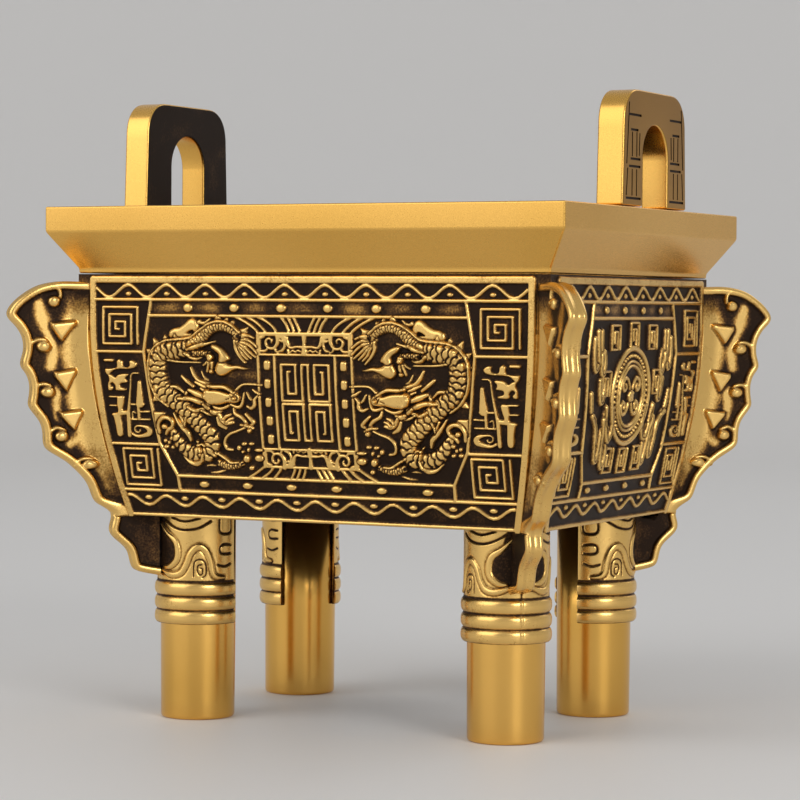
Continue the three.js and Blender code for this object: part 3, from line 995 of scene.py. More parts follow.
@dataclass(frozen=True)
class Fret:
    """A block of thunder fret: square spirals side by side, each the mirror of the next."""

    wide: float
    tall: float
    line: float = 1.15
    pitch: float = 2.15
    turns: int = 2

    def raise_on(self, heights: Field, x: float, z: float, way: int, relief: float) -> None:
        """Raises the block.

        Args:
            heights: The field.
            x: The middle of the block, across.
            z: The middle of the block, up.
            way: 1 for spirals that open below, -1 for ones that open above.
            relief: The height of its lines.
        """
        step = self.wide / self.turns
        size = step - self.pitch if self.turns > 1 else step - self.line
        for k in range(self.turns):
            side = 1 if k % 2 else -1
            middle = x + (k + 0.5 - self.turns / 2) * step
            spiral = square_spiral((0.0, 0.0), size, self.tall - self.line, self.pitch)
            placed = [(middle + side * px, z + way * pz) for px, pz in spiral]
            heights.stroke(placed, self.line, relief, Section.FLAT)
            if k % 2:
                foot, joint = z - way * (self.tall - self.line) / 2, middle - step / 2
                heights.stroke([(joint - self.pitch / 2, foot), (joint + self.pitch / 2, foot)],
                               self.line, relief, Section.FLAT)


@dataclass(frozen=True)
class Wave:
    """A wavy line with a dot in each bow, and the row of studs on the band beside it."""

    middle: float
    swing: float
    step: float
    peak: float
    dot_phase: float
    dot_z: float
    dot: Point
    studs: int
    stud_first: float
    stud_step: float
    stud_z: float
    stud: Point
    line: float = 1.3
    points_per_mm: float = 0.7
    low: float = 0.85
    dot_low: float = 0.7
    end_gap: float = 1.5

    def raise_on(self, wall: Wall, heights: Field) -> None:
        """Raises the wave, its dots and its studs on a wall's field."""
        half = float(wall.edge(self.middle)) - wall.frame_margin - wall.frame_width
        xs = np.linspace(-half, half, int(half * 2 * self.points_per_mm))
        zs = self.middle + self.swing * np.cos(2 * np.pi * (xs - self.peak) / self.step)
        heights.stroke(list(zip(xs, zs)), self.line, self.low * wall.relief)
        count = int(half / self.step) + 1
        for k in range(-count, count + 1):
            x = self.peak + (k + self.dot_phase) * self.step
            if abs(x) < half - self.end_gap:
                heights.dome(x, self.dot_z, *self.dot, self.dot_low * wall.relief)
        for k in range(self.studs):
            for side in (-1, 1):
                x = side * (self.stud_first + k * self.stud_step)
                heights.dome(x, self.stud_z, *self.stud, wall.relief)


class Beast:
    """The hooked beast of a side column, drawn for the left half."""

    slope = 0.4
    plates = (
        ((-74.1, 113.4), (-69.9, 113.7), (-69.6, 115.7), (-68.6, 116.4), (-67.5, 115.7), (-67.2, 114.3),
         (-66.0, 113.8), (-64.8, 114.5), (-64.9, 115.9), (-63.5, 116.0), (-62.2, 115.1), (-62.6, 113.9),
         (-64.6, 113.3), (-68.0, 113.2), (-70.5, 112.9), (-71.6, 112.2), (-73.0, 111.1), (-74.0, 112.2)),
        ((-73.1, 111.6), (-71.5, 111.4), (-70.3, 110.7), (-69.2, 111.5), (-66.5, 111.9), (-65.5, 111.4),
         (-66.5, 110.3), (-66.0, 109.0), (-68.3, 108.6), (-68.5, 107.7), (-66.5, 107.0), (-66.9, 106.4),
         (-70.3, 106.4), (-70.5, 107.9), (-71.5, 108.8), (-72.3, 108.2), (-71.4, 107.3), (-71.9, 106.4),
         (-73.2, 106.5), (-73.2, 108.6), (-72.7, 109.8)),
        ((-62.2, 109.5), (-61.5, 109.8), (-60.9, 109.3), (-60.6, 106.4), (-60.4, 101.5), (-63.1, 101.5),
         (-62.8, 105.0), (-62.4, 107.9)),
        ((-70.1, 104.7), (-67.5, 104.6), (-67.8, 102.2), (-68.3, 100.2), (-66.2, 100.2), (-66.2, 98.8),
         (-72.1, 98.2), (-72.3, 99.2), (-70.2, 99.7), (-70.3, 102.2)),
        ((-72.3, 99.2), (-69.6, 99.3), (-69.1, 96.8), (-69.0, 92.2), (-71.0, 92.0), (-71.5, 95.7)),
    )
    strips = (
        (((-74.0, 116.0), (-71.1, 116.0)), 1.35),
        (((-61.7, 112.0), (-63.8, 111.9), (-64.5, 110.9), (-64.8, 107.9), (-65.3, 104.7), (-66.0, 100.7),
          (-66.3, 98.9), (-66.5, 92.2)), (0.8, 0.8, 0.9, 0.9, 1.1, 1.4, 1.7, 1.8)),
        (((-64.9, 102.1), (-60.4, 102.1)), 1.1),
        (((-62.4, 101.4), (-62.4, 97.5)), 1.4),
        (((-62.2, 99.8), (-58.4, 99.9)), 0.95),
        (((-65.3, 97.3), (-58.5, 97.4)), 1.0),
        (((-63.6, 99.3), (-64.4, 99.7), (-64.8, 99.3), (-64.8, 97.5)), 0.8),
        (((-65.3, 92.7), (-63.7, 92.0), (-61.5, 92.2), (-59.2, 92.9), (-58.8, 93.8), (-59.6, 94.7),
          (-61.5, 95.2), (-63.5, 95.2), (-64.3, 94.6), (-64.2, 93.6), (-63.1, 93.2), (-62.4, 93.7),
          (-62.6, 94.1)),
         (1.3, 1.3, 1.6, 2.2, 2.3, 1.8, 1.1, 0.9, 0.9, 0.9, 0.9, 0.8, 0.6)),
        (((-73.0, 104.4), (-67.8, 104.3)), 0.95),
        (((-73.0, 101.6), (-70.1, 101.6)), 0.95),
    )

    def raise_on(self, hand: Hand, relief: float) -> None:
        """Raises the beast."""
        for outline in self.plates:
            hand.sheet(Sheet(outline, relief, self.slope))
        for points, width in self.strips:
            hand.heights.stroke(hand.placed(points), width, relief, Section.FLAT)


class WallOrnament:
    """What the ornament of all four walls shares: the frame, the bands and the side columns' cells.

    Attributes:
        divider: The line that closes the right side column off, from the top down.
        waves: The upper and the lower wave.
        cell_fret: The block of fret in a column's upper and lower cell.
        cell_inner: How far a column's middle lies inside the wall's edge.
        cell_near: How far the inner end of the lines between the cells does.
    """

    divider: Line
    waves: Sequence[Wave]
    cell_fret: Fret
    cell_inner: float
    cell_near: float

    top_rail_drop = 1.7
    top_rail_width = 2.6
    rail_points = 24
    levels = (135.3, 130.3, 79.7, 74.8)
    field_levels = (130.3, 79.7)
    rubbed_heights = (80.0, 95.0, 134.0, 138.0)
    rubbed_shares = (0.4, 0.8, 1.0, 1.0, 0.5, 0.15)
    fleck_foot = 130.6
    fleck_span = 4.4
    fleck_share = 0.5
    frame_darkening = 0.12
    fret_cells = ((127.1, 1), (82.2, -1))
    cell_levels = (118.8, 89.5)
    beast = Beast()
    beast_level = 104.0
    beast_edge = 81.7
    beast_shift = 0.7

    def __call__(self, wall: Wall, heights: Field) -> None:
        """Raises the whole ornament on a wall's field."""
        self.rub_ground(wall, heights)
        self.lines(wall, heights)
        for wave in self.waves:
            wave.raise_on(wall, heights)
        self.cells(wall, heights)
        self.middle_field(wall, heights)

    def middle_field(self, wall: Wall, heights: Field) -> None:
        """Raises what a kind of wall has between its side columns."""
        raise NotImplementedError

    def rub_ground(self, wall: Wall, heights: Field) -> None:
        """Rubs the strips outside the frame bright, and the upper band between its studs."""
        b = wall.body
        past = np.abs(heights.across) - (wall.edge(heights.up) - wall.frame_margin)
        strip = np.interp(heights.up, (b.foot, *self.rubbed_heights, b.top), self.rubbed_shares)
        heights.rub_and_glow = np.where(past > 0.0, strip, 0.0)
        fade = np.clip(np.sin(np.pi * (heights.up - self.fleck_foot) / self.fleck_span), 0.0, 1.0)
        flecks = self.fleck_share * fade * np.cos(np.pi * heights.across / self.waves[0].stud_step) ** 2
        high, low = self.levels[:2]
        on_band = (heights.up > low) & (heights.up < high) & (np.abs(heights.across) < self.divider[0][0])
        heights.rub_and_glow = np.maximum(heights.rub_and_glow, np.where(on_band, flecks, 0.0))
        # the frame and the top rail are left a little darker
        framed = np.abs(heights.across) > wall.edge(heights.up) - wall.frame_margin - wall.frame_width
        on_rail = heights.up > b.top - self.top_rail_drop - self.top_rail_width / 2
        heights.patina_and_shade = np.where(framed & (past < 0.0) | on_rail, self.frame_darkening, 0.0)

    def lines(self, wall: Wall, heights: Field) -> None:
        """Raises the frame, the side columns' long lines and the lines of the bands."""
        b = wall.body
        top_rail = b.top - self.top_rail_drop
        ends = wall.frame_margin + wall.frame_width / 2
        up = np.linspace(b.foot + wall.rail / 2, top_rail, self.rail_points)
        for side in (-1, 1):
            edge = [(side * (float(wall.edge(z)) - ends), float(z)) for z in up]
            heights.stroke(edge, wall.frame_width, wall.relief, Section.FLAT)
            heights.stroke(mirrored(self.divider, -side), wall.line, wall.relief)
        for z, width in ((b.foot + wall.rail / 2, wall.rail), (top_rail, self.top_rail_width)):
            half = float(wall.edge(z)) - ends
            heights.stroke([(-half, z), (half, z)], width, wall.relief, Section.FLAT)
        across, down = zip(*self.divider[::-1])
        for z in self.levels:
            half = float(wall.edge(z)) - ends
            if z in self.field_levels:
                half = float(np.interp(z, down, across))
            heights.stroke([(-half, z), (half, z)], wall.line, wall.relief)

    def cells(self, wall: Wall, heights: Field) -> None:
        """Raises the three cells of each side column: fret, a hooked beast, and fret."""
        shift = self.beast_shift - (float(wall.edge(self.beast_level)) - self.beast_edge)
        for side in (-1, 1):
            for z, way in self.fret_cells:
                middle = side * (float(wall.edge(z)) - self.cell_inner)
                self.cell_fret.raise_on(heights, middle, z, way, wall.relief)
            for z in self.cell_levels:
                edge = float(wall.edge(z))
                outer = edge - wall.frame_margin - wall.frame_width / 2
                line = [(side * (edge - self.cell_near), z), (side * outer, z)]
                heights.stroke(line, wall.line, wall.relief)
            self.beast.raise_on(Hand(heights, side, shift, 0.0), wall.relief)


class Dragon:
    """The dragon of a long wall, drawn for the left half, its head turned inwards."""

    spine = ((-24.2, 124.2), (-26.6, 126.0), (-29.6, 127), (-33, 126.5), (-36, 124.6), (-40, 121.4),
             (-45, 119.8), (-50, 119.2), (-53.1, 116.8), (-53.4, 113), (-53.0, 109.5), (-51.4, 106.6),
             (-48.4, 104.2), (-45.4, 102), (-42.6, 99.7), (-39, 96.3), (-36.0, 93.2), (-35.2, 90.3),
             (-36.7, 87.5), (-40, 86.8), (-43, 87.2), (-46.1, 89), (-48.4, 92.0), (-49.5, 93.8))
    girth = (2.6, 2.9, 3.2, 3.5, 4.1, 4.8, 6.4, 6.5, 6.5, 6.8, 6.8, 6.6, 6.2, 6.0, 5.9, 6.1, 6.2, 6.0, 5.6,
             5.3, 5.1, 4.6, 3.6, 2.3)
    rise = (1.0, 1.1, 1.2, 1.5, 1.8, 2.0, 2.3, 2.3, 2.3, 2.3, 2.2, 2.2, 2.1, 2.1, 2.1, 2.1, 2.1, 2.1, 2.0,
            1.9, 1.8, 1.7, 1.4, 0.9)
    tail_end = 5
    back_end = 12
    spike_foot = 0.4
    spike_reach = 1.16
    spike_width = (5.4, 0.5)
    spike_high = (1.7, 1.0)
    ridge_width = 1.0
    ridge_high = 1.5
    ridge_moat = 0.35
    row = 1.85
    tail_row = 1.0
    tail_stout = 1.25
    limb_stout = 1.1
    mane_stout = 1.25
    beard_stout = 1.1
    glow_width = 5.0
    glow_share = 0.3
    spikes = ((-26.0, 128.4), (-28.2, 129.2), (-31.4, 129.9), (-35.4, 128.1), (-46.6, 123.8),
              (-50.6, 123.4), (-54.4, 122.4), (-56.8, 119.2), (-57.0, 115.4), (-55.4, 103.8))
    tail = (
        (((-25.0, 122.6), (-25.2, 120.6), (-24.0, 118.2), (-21.9, 115.9)), (1.4, 1.1, 1.0, 0.7), 1.1),
        (((-24.0, 122.2), (-23.3, 119.8), (-22.6, 118.4), (-21.0, 116.9)), (1.3, 0.9, 0.8, 0.6), 1.1),
        (((-23.4, 121.8), (-22.2, 119.8), (-21.0, 118.4), (-19.6, 117.2)), (1.3, 0.9, 0.8, 0.6), 1.1),
        (((-23.0, 122.0), (-21.4, 120.4), (-19.8, 119.0), (-18.0, 117.6)), (1.3, 0.9, 0.8, 0.6), 1.1),
        (((-22.8, 122.6), (-20.8, 121.6), (-19.0, 120.4), (-17.4, 118.7)), (1.3, 0.9, 0.8, 0.6), 1.1),
        (((-22.6, 123.4), (-20.6, 122.9), (-18.8, 121.9), (-17.4, 120.7)), (1.3, 0.9, 0.8, 0.6), 1.1),
        (((-22.6, 124.2), (-20.8, 124.3), (-19.8, 124.1), (-18.5, 123.5)), (1.4, 1.0, 0.8, 0.6), 1.1),
    )
    tail_base = Sheet(((-26.4, 125.6), (-24.4, 126.2), (-22.2, 126.6), (-20.2, 127.0), (-20.8, 125.6),
                       (-20.0, 124.4), (-20.6, 123.0), (-20.4, 121.6), (-21.6, 120.8), (-22.4, 119.4),
                       (-23.8, 119.6), (-25.0, 121.0), (-26.2, 122.8)), 1.2, 0.9)
    cloud = Sheet(((-49.4, 124.0), (-49.0, 125.6), (-47.4, 126.5), (-45.4, 126.9), (-43.7, 127.9),
                   (-42.0, 129.2), (-40.2, 129.6), (-38.6, 128.8), (-38.0, 127.0), (-38.4, 125.0),
                   (-39.8, 123.2), (-44.0, 122.4), (-48.0, 122.8)), 1.5, 1.5)
    cloud_hollow = ((-43.2, 124.6), (-41.6, 125.6), (-40.3, 126.0), (-39.6, 125.4), (-40.4, 124.6))
    limbs = (
        (((-38.0, 128.4), (-36.6, 128.0), (-34.4, 129.3)), (1.5, 1.0, 0.5), (1.0, 0.8, 0.5)),
        (((-42.0, 119.8), (-38.5, 120.8), (-32.5, 122.3)), (1.0, 1.9, 0.5), (1.8, 1.7, 0.8)),
        (((-42.8, 118.6), (-41.2, 117.3), (-39.2, 116.9), (-37.6, 117.2)), (1.2, 1.3, 1.1, 0.5),
         (1.7, 1.6, 1.4, 0.8)),
        (((-49.5, 116.2), (-45, 115.8), (-38, 115.7)), (0.9, 0.8, 0.4), (1.0, 0.9, 0.6)),
    )
    claws = (
        (((-34.2, 117.0), (-35.4, 115.8), (-37.0, 114.8)), (1.5, 1.1, 0.7), (1.5, 1.3, 0.9)),
        (((-34.0, 116.8), (-34.9, 115.0), (-35.6, 112.9)), (1.5, 1.2, 0.9), (1.5, 1.3, 0.9)),
        (((-33.8, 116.8), (-33.6, 114.8), (-34.0, 113.3)), (1.4, 1.2, 1.0), (1.5, 1.3, 1.1)),
    )
    pearl = Sheet(((-34.1, 121.2), (-33.0, 121.8), (-30.7, 121.2), (-28.7, 119.8), (-27.1, 117.7),
                   (-27.0, 116.6), (-28.0, 116.0), (-26.5, 115.3), (-24.3, 115.3), (-22.2, 114.7),
                   (-20.2, 114.0), (-22.2, 113.5), (-24.7, 113.6), (-26.7, 112.9), (-28.7, 111.8),
                   (-30.7, 111.4), (-32.2, 112.3), (-32.7, 113.9), (-32.0, 115.5), (-31.3, 117.1),
                   (-31.3, 118.3), (-32.5, 119.1), (-33.8, 120.1)), 2.0, 1.9)
    pearl_cuts = ((((-31.6, 116.6), (-30.2, 115.8), (-28.4, 116.0)), 0.7),)
    glow = ((-27.0, 112.4), (-18.5, 111.6))
    mane = (
        (((-44.9, 111.3), (-43.0, 109.8), (-40.8, 108.2)), (1.0, 1.3, 0.9), (0.9, 1.3, 1.2)),
        (((-41.5, 114.0), (-40.3, 111.8), (-38.6, 110.1), (-36.4, 109.4), (-34.6, 108.8)),
         (0.8, 1.3, 1.2, 1.3, 1.2), (0.9, 1.3, 1.5, 1.6, 1.6)),
        (((-37.8, 112.8), (-36.8, 111.0), (-35.4, 110.2)), (0.4, 0.7, 0.4), (0.4, 0.7, 0.5)),
        (((-40.2, 109.6), (-38.0, 108.6), (-36.2, 108.0)), (0.7, 1.0, 0.8), (0.9, 1.2, 1.3)),
        (((-38.4, 107.6), (-37.0, 107.0), (-35.8, 106.6)), (0.6, 0.9, 0.7), (0.9, 1.2, 1.2)),
        (((-42.4, 107.0), (-39.5, 105.9), (-36.8, 105.0)), (1.2, 2.0, 1.4), (1.2, 1.7, 1.6)),
        (((-46.0, 104.4), (-42.4, 104.4), (-39.4, 103.6), (-35.6, 102.2)), (1.0, 1.5, 1.8, 1.0),
         (1.5, 1.8, 1.8, 1.2)),
        (((-42.6, 101.8), (-40.6, 100.9), (-38.0, 101.0), (-36.7, 101.6)), (0.9, 1.3, 1.2, 0.7),
         (1.6, 1.8, 1.5, 1.0)),
        (((-37.3, 102.6), (-36.0, 101.5), (-34.6, 100.6)), (1.0, 1.2, 0.8), (1.2, 1.3, 1.0)),
        (((-38.2, 100.6), (-36.0, 99.6), (-33.6, 99.2)), (0.7, 1.0, 0.6), (1.0, 1.1, 0.8)),
        (((-34.4, 100.4), (-32.6, 100.0), (-31.2, 100.7)), (1.6, 1.5, 0.7), (1.3, 1.3, 0.9)),
        (((-32.0, 99.4), (-31.0, 97.7), (-29.4, 96.9), (-27.4, 97.1)), (1.0, 1.4, 1.3, 0.8),
         (1.1, 1.3, 1.2, 0.8)),
        (((-30.6, 98.1), (-29.7, 99.0), (-28.2, 99.5)), (0.8, 1.0, 0.6), (1.0, 1.0, 0.7)),
        (((-33.0, 98.4), (-32.2, 96.4), (-30.2, 95.2)), (0.9, 1.5, 0.8), (0.8, 1.0, 0.7)),
        (((-29.6, 97.2), (-28.6, 98.0), (-27.2, 98.4)), (0.7, 0.8, 0.5), (1.0, 0.9, 0.6)),
    )
    jaws = (
        (((-34.9, 103.4), (-33.2, 101.9), (-31.0, 101.5), (-28.8, 102.2), (-27.4, 103.0)),
         (0.9, 1.4, 1.4, 1.2, 0.7), (1.2, 1.5, 1.5, 1.4, 1.2)),
        (((-27.2, 102.7), (-25.0, 102.1), (-23.8, 102.5), (-23.1, 104.2), (-22.7, 106.4)),
         (1.2, 1.5, 1.4, 1.1, 0.7), (1.2, 1.6, 1.5, 1.2, 0.8)),
        (((-25.4, 107.1), (-24.7, 107.9), (-23.0, 109.0), (-20.5, 109.2), (-16.2, 109.0)),
         (1.2, 1.2, 0.9, 0.9, 0.8), (1.4, 1.2, 1.0, 1.0, 0.8)),
        (((-21.7, 106.6), (-20.7, 104.9), (-19.9, 104.2)), (0.7, 1.1, 0.9), (0.9, 1.1, 1.1)),
        (((-17.9, 105.6), (-19.0, 104.4), (-19.1, 102.7), (-20.3, 101.8), (-22.0, 102.4)),
         (0.7, 1.3, 1.6, 1.5, 0.8), (0.9, 1.2, 1.4, 1.4, 0.9)),
        (((-19.6, 107.6), (-18.4, 106.8), (-17.0, 106.2)), (0.7, 1.2, 1.0), (0.8, 1.1, 1.0)),
    )
    snout = Sheet(((-37.0, 106.6), (-36.0, 107.7), (-33.0, 107.8), (-30.0, 107.4), (-27.8, 106.8),
                   (-26.2, 106.9), (-24.6, 106.7), (-23.6, 105.2), (-24.2, 103.6), (-26.2, 103.2),
                   (-28.6, 103.2), (-31.0, 102.6), (-33.8, 102.5), (-36.0, 103.2), (-37.0, 104.9)), 2.3,
                   1.3)
    brow = ((((-35.2, 108.5), (-33.0, 108.3), (-29.5, 108.3), (-27.3, 107.4), (-25.8, 106.6)),
             (1.3, 1.7, 1.8, 1.6, 1.0), (1.7, 2.1, 2.2, 2.1, 1.8)),)
    face_cuts = ((((-34.6, 107.3), (-31.0, 107.2), (-27.6, 106.3)), 0.6),
                 (((-28.6, 104.4), (-27.2, 104.9)), 0.5), (((-26.9, 105.8), (-26.3, 104.6)), 0.45))
    beard = (
        (((-26.8, 101.6), (-26.2, 100.0), (-24.0, 98.8), (-22.8, 97.6), (-22.3, 96.2), (-21.2, 94.8)),
         (0.7, 1.4, 1.4, 1.3, 1.3, 1.0), (0.8, 1.3, 1.3, 1.3, 1.2, 1.2)),
        (((-22.4, 99.9), (-20.6, 98.2), (-19.8, 97.2), (-21.6, 96.1)), (1.1, 1.5, 1.2, 0.9),
         (1.2, 1.4, 1.2, 1.0)),
        (((-24.8, 96.4), (-22.4, 96.3), (-20.4, 95.4)), (0.8, 1.1, 0.8), (0.9, 1.3, 1.0)),
        (((-23.4, 95.5), (-26.0, 94.5), (-28.6, 93.6), (-30.3, 92.2), (-30.9, 90.4), (-30.2, 88.9),
          (-28.4, 88.5)),
         (0.7, 0.9, 1.0, 1.1, 1.1, 1.1, 0.9), (0.8, 1.0, 1.0, 1.1, 1.1, 1.1, 0.9)),
    )
    knuckles = (
        (-34.0, 117.4, 2.6, 2.6, 2.0), (-34.0, 112.9, 1.8, 1.5, 1.4), (-25.4, 104.9, 1.6, 1.5, 2.5),
        (-21.6, 94.6, 1.9, 1.8, 1.4), (-23.2, 86.0, 2.6, 2.8, 1.9), (-25.9, 89.2, 1.6, 1.9, 1.2),
        (-24.0, 90.5, 2.0, 1.3, 1.1), (-21.4, 90.6, 2.2, 1.1, 1.0), (-22.1, 83.0, 1.9, 1.6, 1.2),
        (-18.9, 86.2, 3.5, 2.5, 1.6), (-18.9, 88.7, 3.5, 1.3, 1.2), (-24.6, 88.0, 1.1, 1.1, 1.2),
        (-22.6, 88.6, 1.0, 1.6, 1.1), (-52.3, 95.4, 2.1, 2.0, 1.8), (-52.6, 90.8, 1.3, 1.4, 1.1),
        (-51.2, 90.3, 1.2, 1.3, 1.1), (-50.3, 91.6, 1.4, 1.4, 1.1), (-52.5, 88.9, 1.9, 1.3, 1.1),
        (-50.0, 88.8, 1.6, 1.3, 1.1),
    )
    wing = Sheet(((-56.0, 100.0), (-52.6, 100.0), (-51.8, 99.2), (-53.5, 98.2), (-55.0, 96.8),
                  (-55.3, 95.0), (-55.6, 95.0)), 1.1, 0.7)
    haunch = (
        (((-54.4, 93.4), (-54.5, 96.0), (-53.0, 97.9), (-50.8, 98.2), (-49.1, 97.0), (-49.4, 95.4),
          (-51.0, 94.5), (-52.0, 93.0)),
         (1.2, 1.6, 1.7, 1.8, 1.7, 1.5, 1.7, 1.2), (1.2, 1.5, 1.6, 1.7, 1.7, 1.6, 1.6, 1.2)),
        (((-48.6, 99.6), (-46.8, 96.8), (-45.2, 95.0), (-43.6, 93.4), (-43.0, 91.2)),
         (0.8, 1.6, 2.1, 2.2, 1.2), (1.0, 1.7, 1.9, 1.9, 1.3)),
        (((-46.2, 98.8), (-45.2, 97.0), (-44.6, 95.6)), (0.8, 1.1, 0.7), (1.3, 1.5, 1.2)),
        (((-43.8, 98.6), (-44.3, 97.3), (-44.7, 95.8)), (0.7, 1.0, 0.7), (1.2, 1.4, 1.2)),
        (((-46.4, 86.0), (-44.0, 84.2), (-41.5, 83.8), (-39.6, 84.8), (-38.8, 87.0)),
         (0.5, 1.4, 2.0, 1.5, 0.8), (0.8, 1.3, 1.6, 1.5, 1.3)),
        (((-40.6, 91.2), (-39.9, 90.0), (-39.4, 87.8)), (0.6, 1.2, 1.2), (1.6, 2.2, 2.0)),
        (((-39.9, 90.0), (-38.6, 90.2), (-37.6, 89.6)), (1.1, 0.9, 0.5), (2.1, 2.2, 1.8)),
        (((-48.5, 108.2), (-46.4, 107.8), (-44.3, 106.0)), (1.2, 1.6, 0.7), (1.6, 1.6, 0.9)),
        (((-43.8, 105.0), (-43.4, 106.2), (-42.9, 107.6)), (1.4, 1.0, 0.4), (1.4, 1.2, 0.6)),
        (((-34.2, 87.6), (-31.4, 86.1), (-29.0, 84.8), (-26.4, 84.8)), (0.9, 1.2, 1.2, 0.8),
         (1.3, 1.5, 1.6, 1.4)),
        (((-38.5, 83.1), (-37.0, 83.4), (-35.2, 83.2)), (0.3, 0.7, 0.3), (0.3, 0.6, 0.3)),
        (((-37.2, 81.0), (-34.4, 81.2), (-31.8, 81.9)), (0.3, 0.8, 0.3), (0.3, 0.6, 0.3)),
    )
    forearm = Scaled(((-40.0, 118.5), (-37.0, 118.7), (-34.4, 118.4)), (1.9, 2.1, 1.9), 1.7, 0.75)
    shin = Scaled(((-33.4, 84.4), (-30.5, 83.6), (-27.5, 83.7), (-25.0, 84.4)), (2.2, 2.8, 2.6, 1.8), 1.6,
                  0.85)

    def raise_on(self, heights: Field, side: int) -> None:
        """Raises the dragon on a field, from what lies lowest to what lies on top."""
        hand = Hand(heights, side)
        # painted glow on the ground below the pearl's tail
        heights.gild_and_glow(hand.placed(self.glow), self.glow_width, self.glow_share)
        hand.sheet(self.cloud)
        heights.hole(hand.placed(self.cloud_hollow, closed=True))
        hand.sheet(self.tail_base)
        hand.strands(self.tail, self.tail_stout)
        self.back(hand, spikes=True)
        for part, row in ((slice(self.tail_end, None), self.row),
                          (slice(self.tail_end + 1), self.tail_row)):
            hand.scaled(Scaled(self.spine[part], self.girth[part], self.rise[part], row))
        self.back(hand, spikes=False)
        hand.strands(self.limbs, self.limb_stout)
        hand.scaled(self.forearm)
        hand.strands(self.claws)
        hand.sheet(self.pearl)
        hand.cuts(self.pearl_cuts)
        hand.sheet(self.wing)
        hand.scaled(self.shin)
        hand.strands(self.haunch)
        hand.strands(self.mane, self.mane_stout)
        hand.strands(self.jaws)
        hand.sheet(self.snout)
        hand.strands(self.brow)
        hand.cuts(self.face_cuts)
        hand.strands(self.beard, self.beard_stout)
        hand.knobs(self.knuckles)

    def back(self, hand: Hand, spikes: bool) -> None:
        """Raises the spikes that stand on the back, or the ridge that runs along it."""
        line = np.asarray(curve_through(self.spine[:self.back_end + 1], 4))
        if spikes:
            for tip in self.spikes:
                near = line[np.argmin(np.hypot(*(line - tip).T))]
                out = np.asarray(tip) - near
                ends = (near + self.spike_foot * out, near + self.spike_reach * out)
                hand.strands(((ends, self.spike_width, self.spike_high),))
            return
        steps = np.gradient(line, axis=0)
        out = np.stack([steps[:, 1], -steps[:, 0]], axis=1) / np.hypot(*steps.T)[:, None]
        reach = spread(self.girth[:self.back_end + 1], len(line))[:, None] / 2
        ridge = line + out * reach
        placed = mirrored([(x + hand.shift, z) for x, z in ridge], hand.side)
        hand.heights.stroke(placed, self.ridge_width, self.ridge_high, moat=self.ridge_moat)


